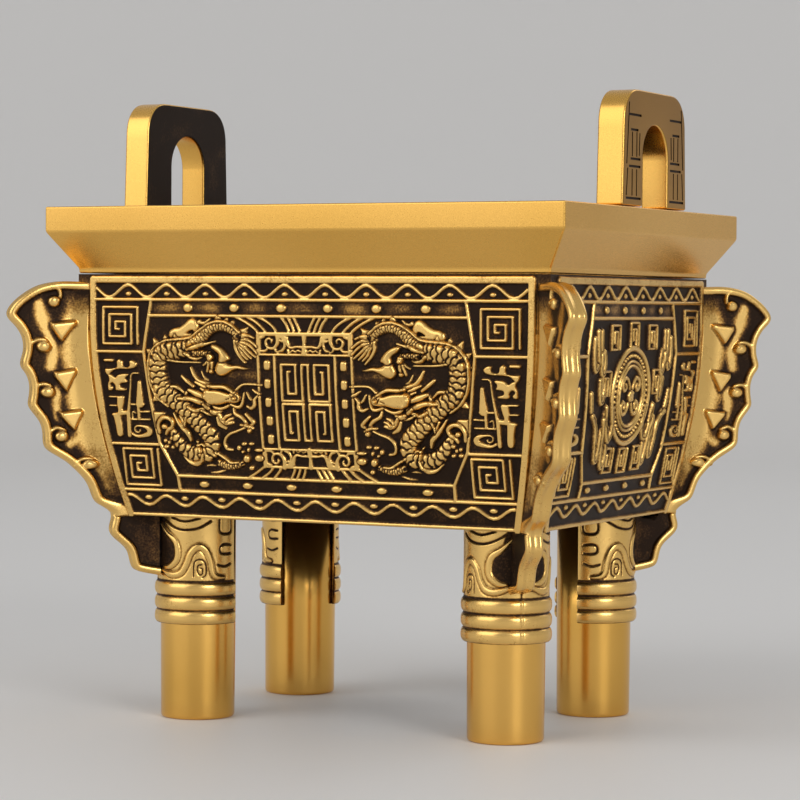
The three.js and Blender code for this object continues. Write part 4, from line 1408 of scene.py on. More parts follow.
class LongWallOrnament(WallOrnament):
    """The long walls' ornament: two dragons facing a framed field."""

    divider = ((55.0, 135.3), (57.9, 118.9), (56.2, 104.0), (54.0, 90.0), (48.6, 79.7), (48.4, 74.8))
    waves = (Wave(middle=138.0, swing=1.95, step=14.15, peak=7.2, dot_phase=0.0, dot_z=137.1,
                  dot=(2.4, 1.4), studs=3, stud_first=8.2, stud_step=16.7, stud_z=132.8, stud=(3.7, 2.9)),
             Wave(middle=71.5, swing=1.55, step=13.5, peak=0.0, dot_phase=0.5, dot_z=72.3, dot=(3.0, 1.5),
                  studs=3, stud_first=7.9, stud_step=15.7, stud_z=77.2, stud=(3.9, 2.2)))
    rays = (((24.2, 130), (20.6, 128.4), (17.4, 126.4), (16.1, 125)),
            ((20, 130), (17.0, 128.5), (14.4, 126.4), (13.1, 125)),
            ((16.2, 130), (13.4, 128.8), (10.9, 127.0), (9.5, 125)),
            ((8.1, 130), (6.3, 127.8), (5.1, 125)), ((5.7, 130), (4.3, 127.6), (3.3, 125)),
            ((3.7, 130), (2.4, 127.6), (1.3, 125)), ((16.6, 83.6), (19.6, 81.6), (22.6, 80.0)),
            ((13.2, 83.6), (15.2, 81.6), (17.8, 80.0)), ((10.4, 83.6), (11.8, 81.8), (13.6, 80.0)),
            ((5.6, 83.6), (6.4, 81.8), (7.5, 80.0)), ((3.7, 83.6), (4.5, 81.8), (5.5, 80.0)),
            ((1.9, 83.6), (2.5, 81.8), (3.4, 80.0)))
    stud = ((-1.2, -1.0), (-0.7, -1.65), (0.7, -1.65), (1.2, -1.0), (1.2, 1.0), (0.7, 1.65), (-0.7, 1.65),
            (-1.2, 1.0))
    plate_strands = (
        (((0.0, -2.6), (0.0, 0.0), (0.0, 2.6)), (1.7, 1.0, 1.5)), (((15.8, -2.6), (15.8, 2.6)), 1.1),
        (((0.0, 2.8), (16.2, 2.8)), 0.9),
        (((0.4, -0.9), (2.6, -0.8), (4.6, -1.1), (5.6, -0.3), (6.0, 0.8), (6.9, 1.9), (8.4, 2.2)),
         (1.0, 0.8, 0.9, 1.1, 1.2, 1.5, 1.0)),
        (((6.2, 1.7), (7.6, 0.9), (8.6, 1.2)), (1.3, 1.0, 0.6)),
        (((7.0, 0.9), (6.8, -0.6), (7.6, -1.9), (8.8, -2.2)), (0.8, 0.9, 1.0, 0.7)),
        (((9.4, 2.9), (9.2, 1.4), (9.5, 0.0), (10.6, -1.2), (12.2, -1.3), (13.3, -0.4), (13.4, 0.9),
          (12.4, 1.7), (11.4, 1.2), (11.5, 0.3)), (1.4, 1.3, 1.1, 1.0, 0.9, 0.9, 0.9, 0.8, 0.8, 0.6)),
        (((10.4, -1.3), (9.9, -2.2), (8.9, -2.7)), (0.9, 0.8, 0.6)),
        (((12.6, -1.2), (13.6, -2.1), (15.0, -2.2)), (0.8, 0.9, 0.9)), (((15.0, 1.9), (14.1, 2.3)), 1.0),
        (((1.2, -2.3), (2.2, -1.9), (3.0, -2.4), (4.0, -2.0), (4.8, -2.5)), 0.6),
        (((5.4, -2.8), (5.7, -1.8)), 0.8),
    )
    cell_fret = Fret(14.0, 12.8, 1.25, 2.3, 1)
    cell_inner = 16.0
    cell_near = 24.3
    dragon = Dragon()
    ray_width = 1.1
    ray_low = 0.9
    scroll_plates = ((121.8, 1), (86.4, -1))
    uprights = ((16.4, 125.2, 83.4), (10.6, 118.4, 89.3))
    upright_width = 1.3
    crossbars = (125.1, 118.5, 89.2, 83.6)
    crossbar_half = 16.4
    crossbar_width = 1.2
    stud_across = 13.4
    stud_top = 115.2
    stud_step = 5.75
    stud_count = 5
    stud_slope = 0.8
    field_fret = Fret(18.8, 12.4, 1.25, 2.2)
    field_frets = ((109.9, -1), (97.7, 1))
    strand_gain = 1.4

    def middle_field(self, wall: Wall, heights: Field) -> None:
        """Raises the framed field with its rays, scroll plates, studs and fret, and the two dragons."""
        relief = wall.relief
        for side in (-1, 1):
            for points in self.rays:
                heights.stroke(curve_through(mirrored(points, -side)), self.ray_width,
                               self.ray_low * relief)
            for middle, way in self.scroll_plates:
                self.scroll_plate(heights, side, middle, way, relief)
            for x, top, foot in self.uprights:
                heights.stroke([(side * x, top), (side * x, foot)], self.upright_width, relief,
                               Section.FLAT)
            for k in range(self.stud_count):
                z = self.stud_top - self.stud_step * k
                outline = [(side * self.stud_across + px, z + pz) for px, pz in self.stud]
                heights.plate(outline, relief, self.stud_slope)
        for z in self.crossbars:
            line = [(-self.crossbar_half, z), (self.crossbar_half, z)]
            heights.stroke(line, self.crossbar_width, relief, Section.FLAT)
        for z, way in self.field_frets:
            self.field_fret.raise_on(heights, 0.0, z, way, relief)
        for side in (-1, 1):
            self.dragon.raise_on(heights, side)

    def scroll_plate(self, heights: Field, side: int, middle: float, way: int, relief: float) -> None:
        """Raises half of a pierced scroll plate.

        Args:
            heights: The field.
            side: Which half.
            middle: The height of the plate's middle.
            way: 1 for a plate as drawn, -1 for one turned upside down.
            relief: The plate's height.
        """
        for points, width in self.plate_strands:
            line = [(side * x, middle + way * z) for x, z in points]
            heights.stroke(curve_through(line, 4), self.strand_gain * np.asarray(width), relief,
                           Section.FLAT)


class ShortWallOrnament(WallOrnament):
    """The short walls' ornament: a round medallion among fret squares and looped clouds."""

    divider = ((32.3, 135.3), (36.3, 119.0), (34.6, 104.0), (32.7, 88.5), (28.5, 79.7), (28.7, 74.8))
    waves = (Wave(middle=138.0, swing=1.95, step=14.25, peak=7.2, dot_phase=0.0, dot_z=137.2,
                  dot=(2.6, 1.6), studs=2, stud_first=7.5, stud_step=14.6, stud_z=132.8, stud=(3.2, 2.5)),
             Wave(middle=71.5, swing=1.55, step=14.5, peak=0.0, dot_phase=0.5, dot_z=72.8, dot=(3.0, 1.5),
                  studs=2, stud_first=7.6, stud_step=14.9, stud_z=77.4, stud=(3.9, 2.2)))
    cell_fret = Fret(12.2, 12.6, 1.15, 2.2, 1)
    cell_inner = 15.4
    cell_near = 27.4
    middle = 106.0
    high = 1.2
    rings = ((14.9, 2.0), (10.9, 0.9), (9.5, 1.1))
    bead_radius = 12.7
    bead_size = 1.3
    bead_high = 1.1
    beads = 48
    scroll = ((0.9, 1.2), (1.6, 3.6), (3.6, 5.6), (6.0, 5.2), (6.8, 3.2), (5.4, 1.8), (4.0, 2.6),
              (4.4, 3.8))
    scroll_widths = (0.9, 1.5, 1.6, 1.2)
    boss_radius = 2.2
    boss_sides = 8
    boss_slope = 0.9
    boss_moat = 0.3
    loop_width = 2.3
    loop_high = 1.3
    loop_moat = 0.3
    loop_cut_width = 0.6
    loop_cut_depth = 0.4
    loop_cut_dark = 0.7
    small_fret = Fret(7.6, 8.6, 1.15, 2.0, 1)
    fret_places = ((0.0, 125.2), (15.2, 124.4), (-15.2, 124.4), (20.8, 110.2), (-20.8, 110.2), (0.0, 85.8),
                   (11.6, 86.2), (-11.6, 86.2))
    loops = (
        ((-28.6, 126.2), (-28.4, 122.4), (-27.6, 118.0), (-26.6, 116.6), (-25.8, 118.2), (-25.9, 122.0),
         (-26.0, 126.2)),
        ((-26.0, 119.0), (-25.4, 114.8), (-24.2, 113.0), (-23.0, 114.0), (-22.8, 117.4), (-23.6, 120.0)),
        ((-31.2, 124.0), (-31.4, 119.6), (-30.8, 115.8), (-29.6, 114.4), (-28.6, 115.6)),
        ((-31.4, 107.2), (-30.6, 103.6), (-29.4, 101.0), (-27.6, 100.2)),
        ((-25.6, 111.2), (-24.9, 107.4), (-23.8, 104.6), (-22.4, 105.0), (-22.0, 107.4)),
        ((-29.4, 100.4), (-27.0, 98.8), (-25.0, 96.0), (-24.2, 91.4), (-23.0, 87.2), (-21.6, 86.4),
         (-20.8, 89.0), (-20.6, 94.4), (-19.2, 102.4)),
        ((-20.2, 99.0), (-19.0, 92.4), (-17.6, 86.0), (-16.2, 84.2), (-14.9, 86.4), (-15.2, 91.0),
         (-16.6, 96.4)),
        ((-19.0, 103.0), (-17.6, 97.4), (-16.0, 93.4), (-14.2, 92.6), (-12.6, 94.6), (-12.4, 98.4),
         (-13.6, 102.4)),
    )

    def middle_field(self, wall: Wall, heights: Field) -> None:
        """Raises the looped clouds, the small squares of fret and the medallion."""
        for side in (-1, 1):
            for points in self.loops:
                line = mirrored(curve_through(points, 4), side)
                heights.stroke(line, self.loop_width, self.loop_high * wall.relief, moat=self.loop_moat)
                heights.groove(line, self.loop_cut_width, self.loop_cut_depth, self.loop_cut_dark)
        for x, z in self.fret_places:
            way = 1 if z > self.middle else -1
            self.small_fret.raise_on(heights, x, z, way, self.high * wall.relief)
        self.medallion(heights, wall.relief)

    def medallion(self, heights: Field, relief: float) -> None:
        """Raises the round medallion: three rings, a ring of beads, four scrolls and a boss."""
        for radius, width in self.rings:
            heights.ring(0.0, self.middle, radius, width, self.high * relief)
        for x, z in self.around(self.bead_radius, self.beads):
            heights.dome(x, z, self.bead_size, self.bead_size, self.bead_high * relief)
        scroll = curve_through(self.scroll, 5)
        for sx, sz in ((1, 1), (-1, 1), (-1, -1), (1, -1)):
            line = [(sx * x, self.middle + sz * z) for x, z in scroll]
            heights.stroke(line, self.scroll_widths, relief)
        boss = self.around(self.boss_radius, self.boss_sides)
        heights.plate(boss, self.high * relief, self.boss_slope, self.boss_moat)

    def around(self, radius: float, count: int) -> list[Point]:
        """Gives evenly spaced places round the medallion's middle."""
        turns = [2 * math.pi * k / count for k in range(count)]
        return [(radius * math.cos(turn), self.middle + radius * math.sin(turn)) for turn in turns]


@dataclass
class Flange:
    """One scalloped corner flange: a dark plate with a double bright bead round its edge."""

    body: Body
    name: str
    side_x: int
    side_y: int
    plate: float = 1.5
    bead: float = 1.4
    bead_step: float = 1.45
    cell: float = 0.45
    smoothing: int = 9
    groove: float = 0.45
    root_half: float = 3.05
    fillet: float = 5.2
    edge: Line = ((-2.8, 140.7), (4.0, 141.0), (9.0, 140.6), (14.0, 139.2), (19.0, 136.0), (22.0, 133.0),
                  (23.2, 130.5), (22.0, 128.4), (20.0, 126.5), (18.0, 123.0), (17.6, 119.0), (18.6, 115.5),
                  (18.5, 113.6), (16.7, 111.4), (15.6, 108.0), (15.8, 104.0), (16.2, 101.5), (14.5, 99.0),
                  (12.2, 96.0), (11.3, 92.5), (11.2, 89.2), (9.8, 87.0), (4.0, 83.5), (0.0, 80.0),
                  (-3.0, 76.5), (-4.8, 72.0), (-6.0, 70.0), (-9.0, 68.3), (-11.2, 66.0), (-10.5, 63.0),
                  (-10.3, 61.0), (-11.5, 59.0), (-15.0, 56.0), (-16.5, 54.0), (-17.5, 50.0), (-19.0, 48.0),
                  (-26.8, 46.3))
    points: Sequence[Line] = (
        ((1.6, 128.6), (9.3, 127.8), (9.4, 126.4), (6.4, 122.0), (5.6, 121.8), (1.5, 127.3)),
        ((1.3, 113.2), (8.3, 112.1), (8.4, 110.6), (4.7, 106.0), (3.9, 106.0), (1.1, 111.8)),
        ((-0.7, 100.1), (6.4, 99.3), (6.2, 97.8), (2.1, 93.4), (1.3, 93.6), (-1.0, 98.8)))
    curls: Sequence[tuple[Line, Point, Point]] = (
        (((8.8, 139.4), (7.2, 138.8), (6.4, 137.4), (6.4, 136.0), (7.1, 134.9)), (8.4, 134.5), (3.5, 3.1)),
        (((15.6, 121.0), (14.4, 122.0), (12.8, 122.4), (11.2, 122.0), (10.2, 120.9)), (11.6, 120.1),
         (4.1, 3.0)),
        (((13.9, 107.4), (12.6, 108.1), (11.2, 108.2), (9.8, 107.7), (8.8, 106.6)), (10.3, 105.6),
         (4.1, 3.0)),
        (((9.2, 93.2), (7.7, 94.2), (6.3, 94.1), (5.0, 93.4), (4.4, 92.4)), (5.8, 91.5), (3.9, 3.0)),
        (((1.4, 81.8), (0.6, 83.4), (-1.3, 84.3), (-3.4, 84.1), (-4.8, 83.2)), (-3.3, 82.4), (4.2, 2.7)))
    gilding: Sequence[tuple[Line, Amount, float]] = (
        (((13.4, 134.2), (12.0, 129.4), (9.8, 123.4), (8.4, 118.6), (9.2, 113.8)),
         (5.6, 8.0, 5.0, 7.6, 6.0), 1.0),
        (((6.4, 107.6), (7.4, 103.0), (7.0, 97.6)), (5.0, 6.2, 4.4), 0.95),
        (((-4.0, 94.0), (-0.6, 91.4), (3.2, 88.8)), (7.0, 6.4, 5.0), 0.85),
        (((-5.2, 86.0), (-6.6, 80.0), (-8.2, 75.0)), (6.4, 4.8, 3.6), 0.65))
    columns: float = 26.0
    root_up: Line = ((0.0, 140.4), (0.42, 100.0), (0.78, 66.2), (0.8, 65.6))
    rubbed_reach: Line = ((80.0, 2.6), (90.0, 6.0), (98.0, 5.2), (104.0, 6.4), (111.0, 4.6), (118.0, 6.2),
                          (127.0, 5.0), (137.0, 3.6))
    rubbed_fade: Line = ((66.0, 0.2), (80.0, 0.5), (88.0, 0.8), (94.0, 1.0), (129.0, 1.0), (137.5, 0.15))
    leg_x: float = 55.2
    leg_y: float = 34.4
    sleeve_radius: float = 13.85
    leg_overlap: float = 0.2
    leg_wrap: float = 0.1
    bead_shine: float = 0.95
    bead_fade: float = 0.9
    rim_steps: Sequence[float] = (0.9, 0.6, 0.3, 0.0, -0.3, -0.6, -0.9)
    curl_widths: Sequence[float] = (1.3, 1.4, 1.5, 1.6, 1.4)
    curl_high: float = 1.4
    knob_gain: float = 1.22
    knob_high: float = 1.8
    point_high: float = 1.7
    shade_shift: Point = (0.5, -0.4)
    rubbed_share: float = 0.95
    rubbed_past: float = 1.6
    trench_dark: float = 0.8
    trench_from: float = 0.5
    trench_half: float = 1.5
    rim_rise: float = 0.05
    rim_power: float = 0.8
    point_shade: Point = (1.2, 0.8)
    point_slope: float = 0.9
    point_moat: float = 0.15
    knob_shade: Point = (1.0, 0.7)
    curl_moat: float = 0.25
    ring_turn: float = 5.5
    ring_points: int = 9

    def root(self, z: np.ndarray) -> np.ndarray:
        """Gives where the flange starts at a height, measured out from the body's upper corner."""
        b = self.body
        corner = -b.drawn(z) * (b.draw_length + b.draw_depth) / math.sqrt(2)
        out_x, out_y = b.half_length - self.leg_x, b.half_depth - self.leg_y
        leg = -(out_x + out_y) / math.sqrt(2) + self.sleeve_radius
        return np.where(z > b.foot - self.leg_overlap, corner, leg)

    def build(self, finish: bpy.types.Material) -> bpy.types.Object:
        """Makes the flange."""
        edge = evened(curve_through(self.edge, 9), self.cell / 2, self.smoothing * 4)
        if not len(edge) % 2:
            edge = edge[1:]
        low = edge[:, 1].min()
        share = np.linspace(0, 1, len(edge))
        root_z = np.interp(share, *zip(*self.root_up, (1.0, low)))
        root_r = self.root(root_z)
        steps = int(self.columns / self.cell)
        inward = np.linspace(0, 1, 2 * steps - 1)
        across = root_r[:, None] * (1 - inward) + edge[:, 0][:, None] * inward
        up = root_z[:, None] * (1 - inward) + edge[:, 1][:, None] * inward
        heights = Field(across, up)
        gap = self._edge_gap(heights, edge[::2])
        self.ornament(heights, gap)
        relief, wear_and_painted_light = heights.settled()
        gap, across, up, root_z = gap[::2, ::2], across[::2, ::2], up[::2, ::2], root_z[::2]
        crown = np.sqrt(np.clip(self.bead ** 2 - (gap - self.bead) ** 2, 0.0, None))
        beaded = np.where(gap < 2 * self.bead, self.bead_step + crown, 0.0)
        relief = np.maximum(relief + self.plate, beaded)
        wrap = np.where(root_z > self.body.foot, 1.0, self.leg_wrap)
        mesh = self._mesh(across, up, relief, wrap)
        shine = self.bead_shine * smoothstep((2 * self.bead - gap) / self.bead_fade)
        wear_and_painted_light = np.clip(wear_and_painted_light + shine, 0.0, 1.0)
        return self._dress(mesh, wear_and_painted_light, finish)

    def _edge_gap(self, heights: Field, edge: np.ndarray) -> np.ndarray:
        """Measures how far each cell lies inside the scalloped edge."""
        gap = np.full(heights.across.shape, np.inf)
        for start, end in zip(edge[:-1], edge[1:]):
            gap = np.minimum(gap, gap_to(heights.across, heights.up, start, end))
        return gap

    def ornament(self, heights: Field, gap: np.ndarray) -> None:
        """Raises the row of points and the comma curls on the plate, paints their shadows, and rubs the
        plate.

        Args:
            heights: The plate's field.
            gap: How far each cell lies inside the scalloped edge.
        """
        out = heights.across - self.root(heights.up)
        reach = np.interp(heights.up, *zip(*self.rubbed_reach))
        fade = np.interp(heights.up, *zip(*self.rubbed_fade))
        heights.rub_and_glow = self.rubbed_share * fade * smoothstep(self.rubbed_past - out / reach)
        for line, width, share in self.gilding:
            heights.gild_and_glow(curve_through(line), width, share)
        beside = np.abs(gap - 2 * self.bead - self.trench_from) / self.trench_half
        heights.patina_and_shade = self.trench_dark * smoothstep(1.0 - beside)
        # painted shadows: cast down and to the right of each point, and round each curl's knob
        right, down = self.shade_shift
        for outline in self.points:
            heights.shadow([(x + right, z + down) for x, z in outline], *self.point_shade)
            heights.plate(outline, self.point_high, self.point_slope, self.point_moat)
        for curl, (x, z), (wide, tall) in self.curls:
            ring = [(x + 0.5 * wide * math.cos(t), z + 0.5 * tall * math.sin(t))
                    for t in np.linspace(0, self.ring_turn, self.ring_points)]
            heights.shadow(ring, *self.knob_shade)
            heights.stroke(curve_through(curl, 5), self.curl_widths, self.curl_high, moat=self.curl_moat)
            heights.dome(x, z, self.knob_gain * wide, self.knob_gain * tall, self.knob_high,
                         self.curl_moat)

    def _mesh(self, across: np.ndarray, up: np.ndarray, relief: np.ndarray,
              wrap: np.ndarray) -> bpy.types.Mesh:
        """Wraps the two faces round the edge as one skin, open at its root and its ends.

        Args:
            across: Each cell's place out along the diagonal.
            up: Each cell's height above the ground.
            relief: How far each cell stands off the flange's middle plane.
            wrap: How far the root's faces reach back beside the corner, for each row.

        Returns:
            The mesh. The cell of each of its vertices is kept for the wear and the painted shade.
        """
        rows, steps = across.shape
        rim = [(off, self.groove * (1.0 - abs(off)) ** self.rim_power + self.rim_rise)
               for off in self.rim_steps]
        cols = 2 * steps + len(rim)
        place = np.zeros((rows, cols, 3))
        source = np.zeros((rows, cols), int)
        away = np.hypot(across - across[:, :1], up - up[:, :1])
        share = wrap[:, None] * np.clip(1.0 - away / self.fillet, 0.0, 1.0) ** 3
        half = relief + share * np.maximum(self.root_half - relief, 0.0)
        dx = np.gradient(across[:, -1])
        dz = np.gradient(up[:, -1])
        run = np.hypot(dx, dz)
        for j in range(steps):
            back = share[:, j] * half[:, j]
            place[:, j] = np.stack([across[:, j] - back, half[:, j], up[:, j]], axis=-1)
            place[:, cols - 1 - j] = place[:, j] * (1.0, -1.0, 1.0)
            source[:, j] = j
            source[:, cols - 1 - j] = j
        for k, (off, inset) in enumerate(rim):
            r = across[:, -1] + dz / run * inset
            z = up[:, -1] - dx / run * inset
            place[:, steps + k] = np.stack([r, np.full(rows, off * self.bead_step), z], axis=-1)
            source[:, steps + k] = steps - 1
        bm = bmesh.new()
        bmesh.ops.create_grid(bm, x_segments=cols - 1, y_segments=rows - 1, size=1.0)
        mesh, i, j, _ = grid_mesh(self.name, bm, rows, cols)
        self._cells = (i, source[i, j])
        local = place[i, j]
        diag = math.sqrt(0.5)
        b = self.body
        x = self.side_x * (b.half_length + local[:, 0] * diag) + self.side_y * local[:, 1] * diag
        y = self.side_y * (b.half_depth + local[:, 0] * diag) - self.side_x * local[:, 1] * diag
        mesh.vertices.foreach_set("co", (np.stack([x, y, local[:, 2]], axis=-1) * MM).reshape(-1))
        return mesh

    def _dress(self, mesh: bpy.types.Mesh, wear_and_painted_light: np.ndarray,
               finish: bpy.types.Material) -> bpy.types.Object:
        """Closes the flange's root and ends, and gives it its wear with painted shade, and its finish."""
        give_wear_and_painted_light(mesh, wear_and_painted_light[self._cells])
        bm = bmesh.new()
        bm.from_mesh(mesh)
        bmesh.ops.remove_doubles(bm, verts=bm.verts, dist=1e-6)
        bmesh.ops.holes_fill(bm, edges=[edge for edge in bm.edges if edge.is_boundary])
        bm.to_mesh(mesh)
        bm.free()
        return finish_mesh(self.name + "_cast", outward(mesh), finish, self.name)


def spun(profile: Line, steps: int) -> bmesh.types.BMesh:
    """Spins a profile into a turned shape.

    Args:
        profile: Points of radius and height, in metres, from the axis outwards.
        steps: The number of steps round.

    Returns:
        The turned shape, with its axis at the origin.
    """
    bm = bmesh.new()
    verts = [bm.verts.new((radius, 0.0, z)) for radius, z in profile]
    edges = [bm.edges.new(pair) for pair in zip(verts[:-1], verts[1:])]
    bmesh.ops.spin(bm, geom=verts + edges, cent=(0, 0, 0), axis=(0, 0, 1), angle=2 * math.pi,
                   steps=steps, use_merge=True, use_duplicate=False)
    bmesh.ops.remove_doubles(bm, verts=bm.verts, dist=NEAR)
    bmesh.ops.recalc_face_normals(bm, faces=bm.faces)
    smooth(bm)
    return bm


@dataclass
class Leg:
    """One leg: a plain turned column and the ornamented sleeve round three quarters of it."""

    name: str
    side_x: int
    side_y: int
    sleeve_foot: float = 31.0
    top: float = 65.8
    foot_radius: float = 11.95
    top_radius: float = 12.15
    sleeve_inner: float = 12.45
    field_radius: float = 13.3
    opening: float = math.pi / 2
    ring_places: Sequence[float] = (33.1, 37.6, 42.3)
    mask_foot: float = 45.2
    cell: float = 0.25
    spin_steps: int = 96
    field_scale: float = 13.0
    ring_base: float = 12.75
    ring_rise: float = 1.35
    ring_half: float = 2.3
    seam_half: float = 0.35
    seam_depth: float = 0.25
    deepest: float = -0.35
    shine: float = 0.98
    ring_gap_shade: float = 0.85
    gap_from: float = 1.7
    gap_fade: float = 0.5
    taper_steps: int = 6
    mask_line: Line = ((0.0, 44.8), (0.0, 65.8))
    mask_line_width: float = 0.7
    mask_line_depth: float = 0.3
    mask_line_dark: float = 0.9
    mask_depth: float = 0.35
    mask_dark: float = 0.95
    band_margin: float = 1.7
    band_moat: float = 0.1
    hollow_reach: float = 0.8
    hollow_dark: float = 0.93
    ring_power: float = 2.6
    foot_round: Line = ((0.0, 0.0), (10.9, 0.0), (11.5, 0.15), (11.85, 0.6))
    foot_top: float = 1.2
    hollow: Line = ((0.0, 47.4), (5.0, 47.6), (8.4, 50.0), (9.4, 53.6), (8.4, 57.4), (5.6, 61.0),
                    (3.8, 66.0), (0.0, 66.0))
    bands: Sequence[tuple[Line, Amount, float]] = (
        (((2.4, 63.6), (5.8, 60.2), (9.2, 57.8), (10.3, 54.4), (9.6, 51.4), (7.0, 49.5), (4.6, 49.2)),
         (0.8, 1.6, 2.1, 2.3, 2.2, 1.8, 1.0), 0.55),
        (((3.4, 48.3), (7.7, 46.9), (11.2, 47.5), (13.2, 50.3), (14.7, 54.0), (17.2, 56.1), (19.6, 54.9),
          (21.2, 51.5), (22.0, 47.7), (23.4, 46.3), (26.0, 46.0)),
         (1.0, 2.0, 2.1, 2.0, 2.0, 2.1, 2.1, 2.0, 1.9, 1.6, 0.9), 0.55))
    cuts: Sequence[tuple[Line, float]] = (
        (((4.7, 64.6), (8.7, 62.4), (12.7, 61.5), (17.2, 62.2), (21.2, 64.4)), 0.95),
        (((8.0, 65.5), (12.7, 64.3), (17.6, 65.4)), 0.75),
        (((24.2, 64.8), (24.2, 61.6), (25.3, 60.3), (28.0, 60.3), (29.1, 61.4), (29.1, 64.8)), 1.0),
        (((28.8, 56.6), (26.0, 56.8), (24.5, 55.9), (24.6, 54.3), (26.0, 53.7), (28.8, 53.8)), 1.0),
        (((23.6, 50.2), (26.4, 49.7), (28.8, 50.5)), 0.95),
        (((15.7, 46.4), (15.8, 50.6), (17.0, 51.9), (18.6, 51.8), (19.6, 50.4), (19.7, 47.2),
          (18.6, 46.2)), 0.6),
        (((18.3, 50.3), (17.2, 50.1), (16.9, 48.6), (17.5, 47.1), (18.5, 47.4), (18.5, 48.9),
          (17.8, 49.2)), 0.6))

    def centre(self) -> Point:
        """Gives where the leg stands, from the frame."""
        low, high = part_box(f"leg_{self.name}")
        return (low.x + high.x) / 2 / MM, (low.y + high.y) / 2 / MM

    def build(self, brass: bpy.types.Material, patina: bpy.types.Material) -> None:
        """Makes the column and its sleeve."""
        taper = self.top_radius - self.foot_radius
        rise = self.sleeve_foot - self.foot_top
        profile = list(self.foot_round)
        for k in range(self.taper_steps + 1):
            profile.append((self.foot_radius + taper * k / self.taper_steps,
                            self.foot_top + rise * k / self.taper_steps))
        profile += [(self.top_radius, self.top), (0.0, self.top)]
        bm = spun([(radius * MM, z * MM) for radius, z in profile], self.spin_steps)
        cx, cy = self.centre()
        bmesh.ops.translate(bm, verts=bm.verts, vec=(cx * MM, cy * MM, 0.0))
        name = f"column_{self.name}"
        finish_mesh(name, as_mesh(name, bm), brass, f"leg_{self.name}")
        self.sleeve(patina)

    def sleeve(self, finish: bpy.types.Material) -> None:
        """Makes the sleeve with its rings and mask."""
        span = 2 * math.pi - self.opening
        cols = int(span * self.field_radius / self.cell) // 2 * 2 + 1
        rows = int((self.top - self.sleeve_foot) / self.cell) + 1
        up, share = fine_grid(rows, cols)
        z = self.sleeve_foot + (self.top - self.sleeve_foot) * up
        turn = share * span / 2
        heights = Field(turn * self.field_scale, z)
        heights.lowest = self.deepest
        heights.rub_and_glow = np.full_like(z, self.shine)
        # painted shade in the grooves between the rings and at their outer sides
        between = np.min([np.abs(z - middle) for middle in self.ring_places], axis=0)
        dark = smoothstep((between - self.gap_from) / self.gap_fade)
        heights.patina_and_shade = self.ring_gap_shade * dark * (z < self.mask_foot)
        self.mask(heights)
        relief, wear_and_painted_light = heights.settled()
        z, turn = z[::2, ::2], turn[::2, ::2]
        radius = np.maximum(self.field_radius + relief, self.rings(heights.across[::2, ::2], z))
        front = self.around(radius, turn, z)
        back = self.around(np.full_like(radius, self.sleeve_inner), turn, z)
        mesh = shell(f"sleeve_{self.name}", rows, cols, front, back, wear_and_painted_light, Ruled.UP)
        finish_mesh(f"sleeve_{self.name}_cast", mesh, finish, f"sleeve_{self.name}")

    def around(self, radius: np.ndarray, turn: np.ndarray, z: np.ndarray) -> np.ndarray:
        """Lays places round the leg's axis, the turns counted from its outer corner, in metres."""
        base = math.atan2(self.side_y, self.side_x)
        cx, cy = self.centre()
        x, y = cx + radius * np.cos(turn + base), cy + radius * np.sin(turn + base)
        return np.stack([x, y, z], axis=-1) * MM

    def rings(self, across: np.ndarray, z: np.ndarray) -> np.ndarray:
        """Gives the radius of the three rounded rings at the sleeve's foot."""
        radius = np.full_like(z, 0.0)
        for middle in self.ring_places:
            share = np.clip(np.abs(z - middle) / self.ring_half, 0.0, 1.0)
            round_off = np.sqrt(1 - share ** self.ring_power) * (share < 1)
            radius = np.maximum(radius, self.ring_base + self.ring_rise * round_off)
        seam = np.exp(-(across / self.seam_half) ** 2)
        return np.where(z < self.mask_foot, radius - self.seam_depth * seam, 0.0)

    def mask(self, heights: Field) -> None:
        """Raises the beast mask round the sleeve's upper part, alike on both sides of the corner."""
        for side in (-1, 1):
            hollow = mirrored(curve_through(self.hollow, 4), -side)
            heights.shadow(hollow, self.hollow_reach, self.hollow_dark)
            for points, width, raised in self.bands:
                line = mirrored(curve_through(points, 5), -side)
                border = np.asarray(width) + self.band_margin
                heights.groove(line, border, self.mask_depth, self.mask_dark)
                heights.stroke(line, width, raised, moat=self.band_moat)
            for points, width in self.cuts:
                line = mirrored(curve_through(points, 4), -side)
                heights.groove(line, width, self.mask_depth, self.mask_dark)
        heights.groove(self.mask_line, self.mask_line_width, self.mask_line_depth, self.mask_line_dark)


@dataclass
class Rim:
    """The sloped collar round the mouth."""

    body: Body
    overhang: float = 7.75
    neck: float = 1.4
    fascia: float = 8.0
    soft: float = 0.55
    soft_turn: float = 0.3

    def build(self, finish: bpy.types.Material) -> bpy.types.Object:
        """Makes the collar from mitred loops of its section."""
        b = self.body
        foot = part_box("rim_collar")[0].z / MM
        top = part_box("rim_collar")[1].z / MM
        section = ((0.0, foot), (0.0, foot + self.neck), (self.overhang, top - self.fascia),
                   (self.overhang, top), (-b.thickness, top), (-b.thickness, foot))
        bm = bmesh.new()
        loops = []
        for out, z in section:
            x, y = b.half_length + out, b.half_depth + out
            corners = ((-1, -1), (1, -1), (1, 1), (-1, 1))
            verts = [bm.verts.new((sx * x, sy * y, z)) for sx, sy in corners]
            loops.append([bm.edges.new((verts[k], verts[(k + 1) % 4])) for k in range(4)])
        for first, second in zip(loops, loops[1:] + loops[:1]):
            bmesh.ops.bridge_loops(bm, edges=first + second)
        bmesh.ops.recalc_face_normals(bm, faces=bm.faces)
        soften(bm, self.soft_turn, self.soft)
        bmesh.ops.scale(bm, vec=(MM, MM, MM), verts=bm.verts)
        smooth(bm)
        name = "rim_casting"
        piece = finish_mesh(name, as_mesh(name, bm), finish, "rim_collar")
        weigh(piece)
        return piece


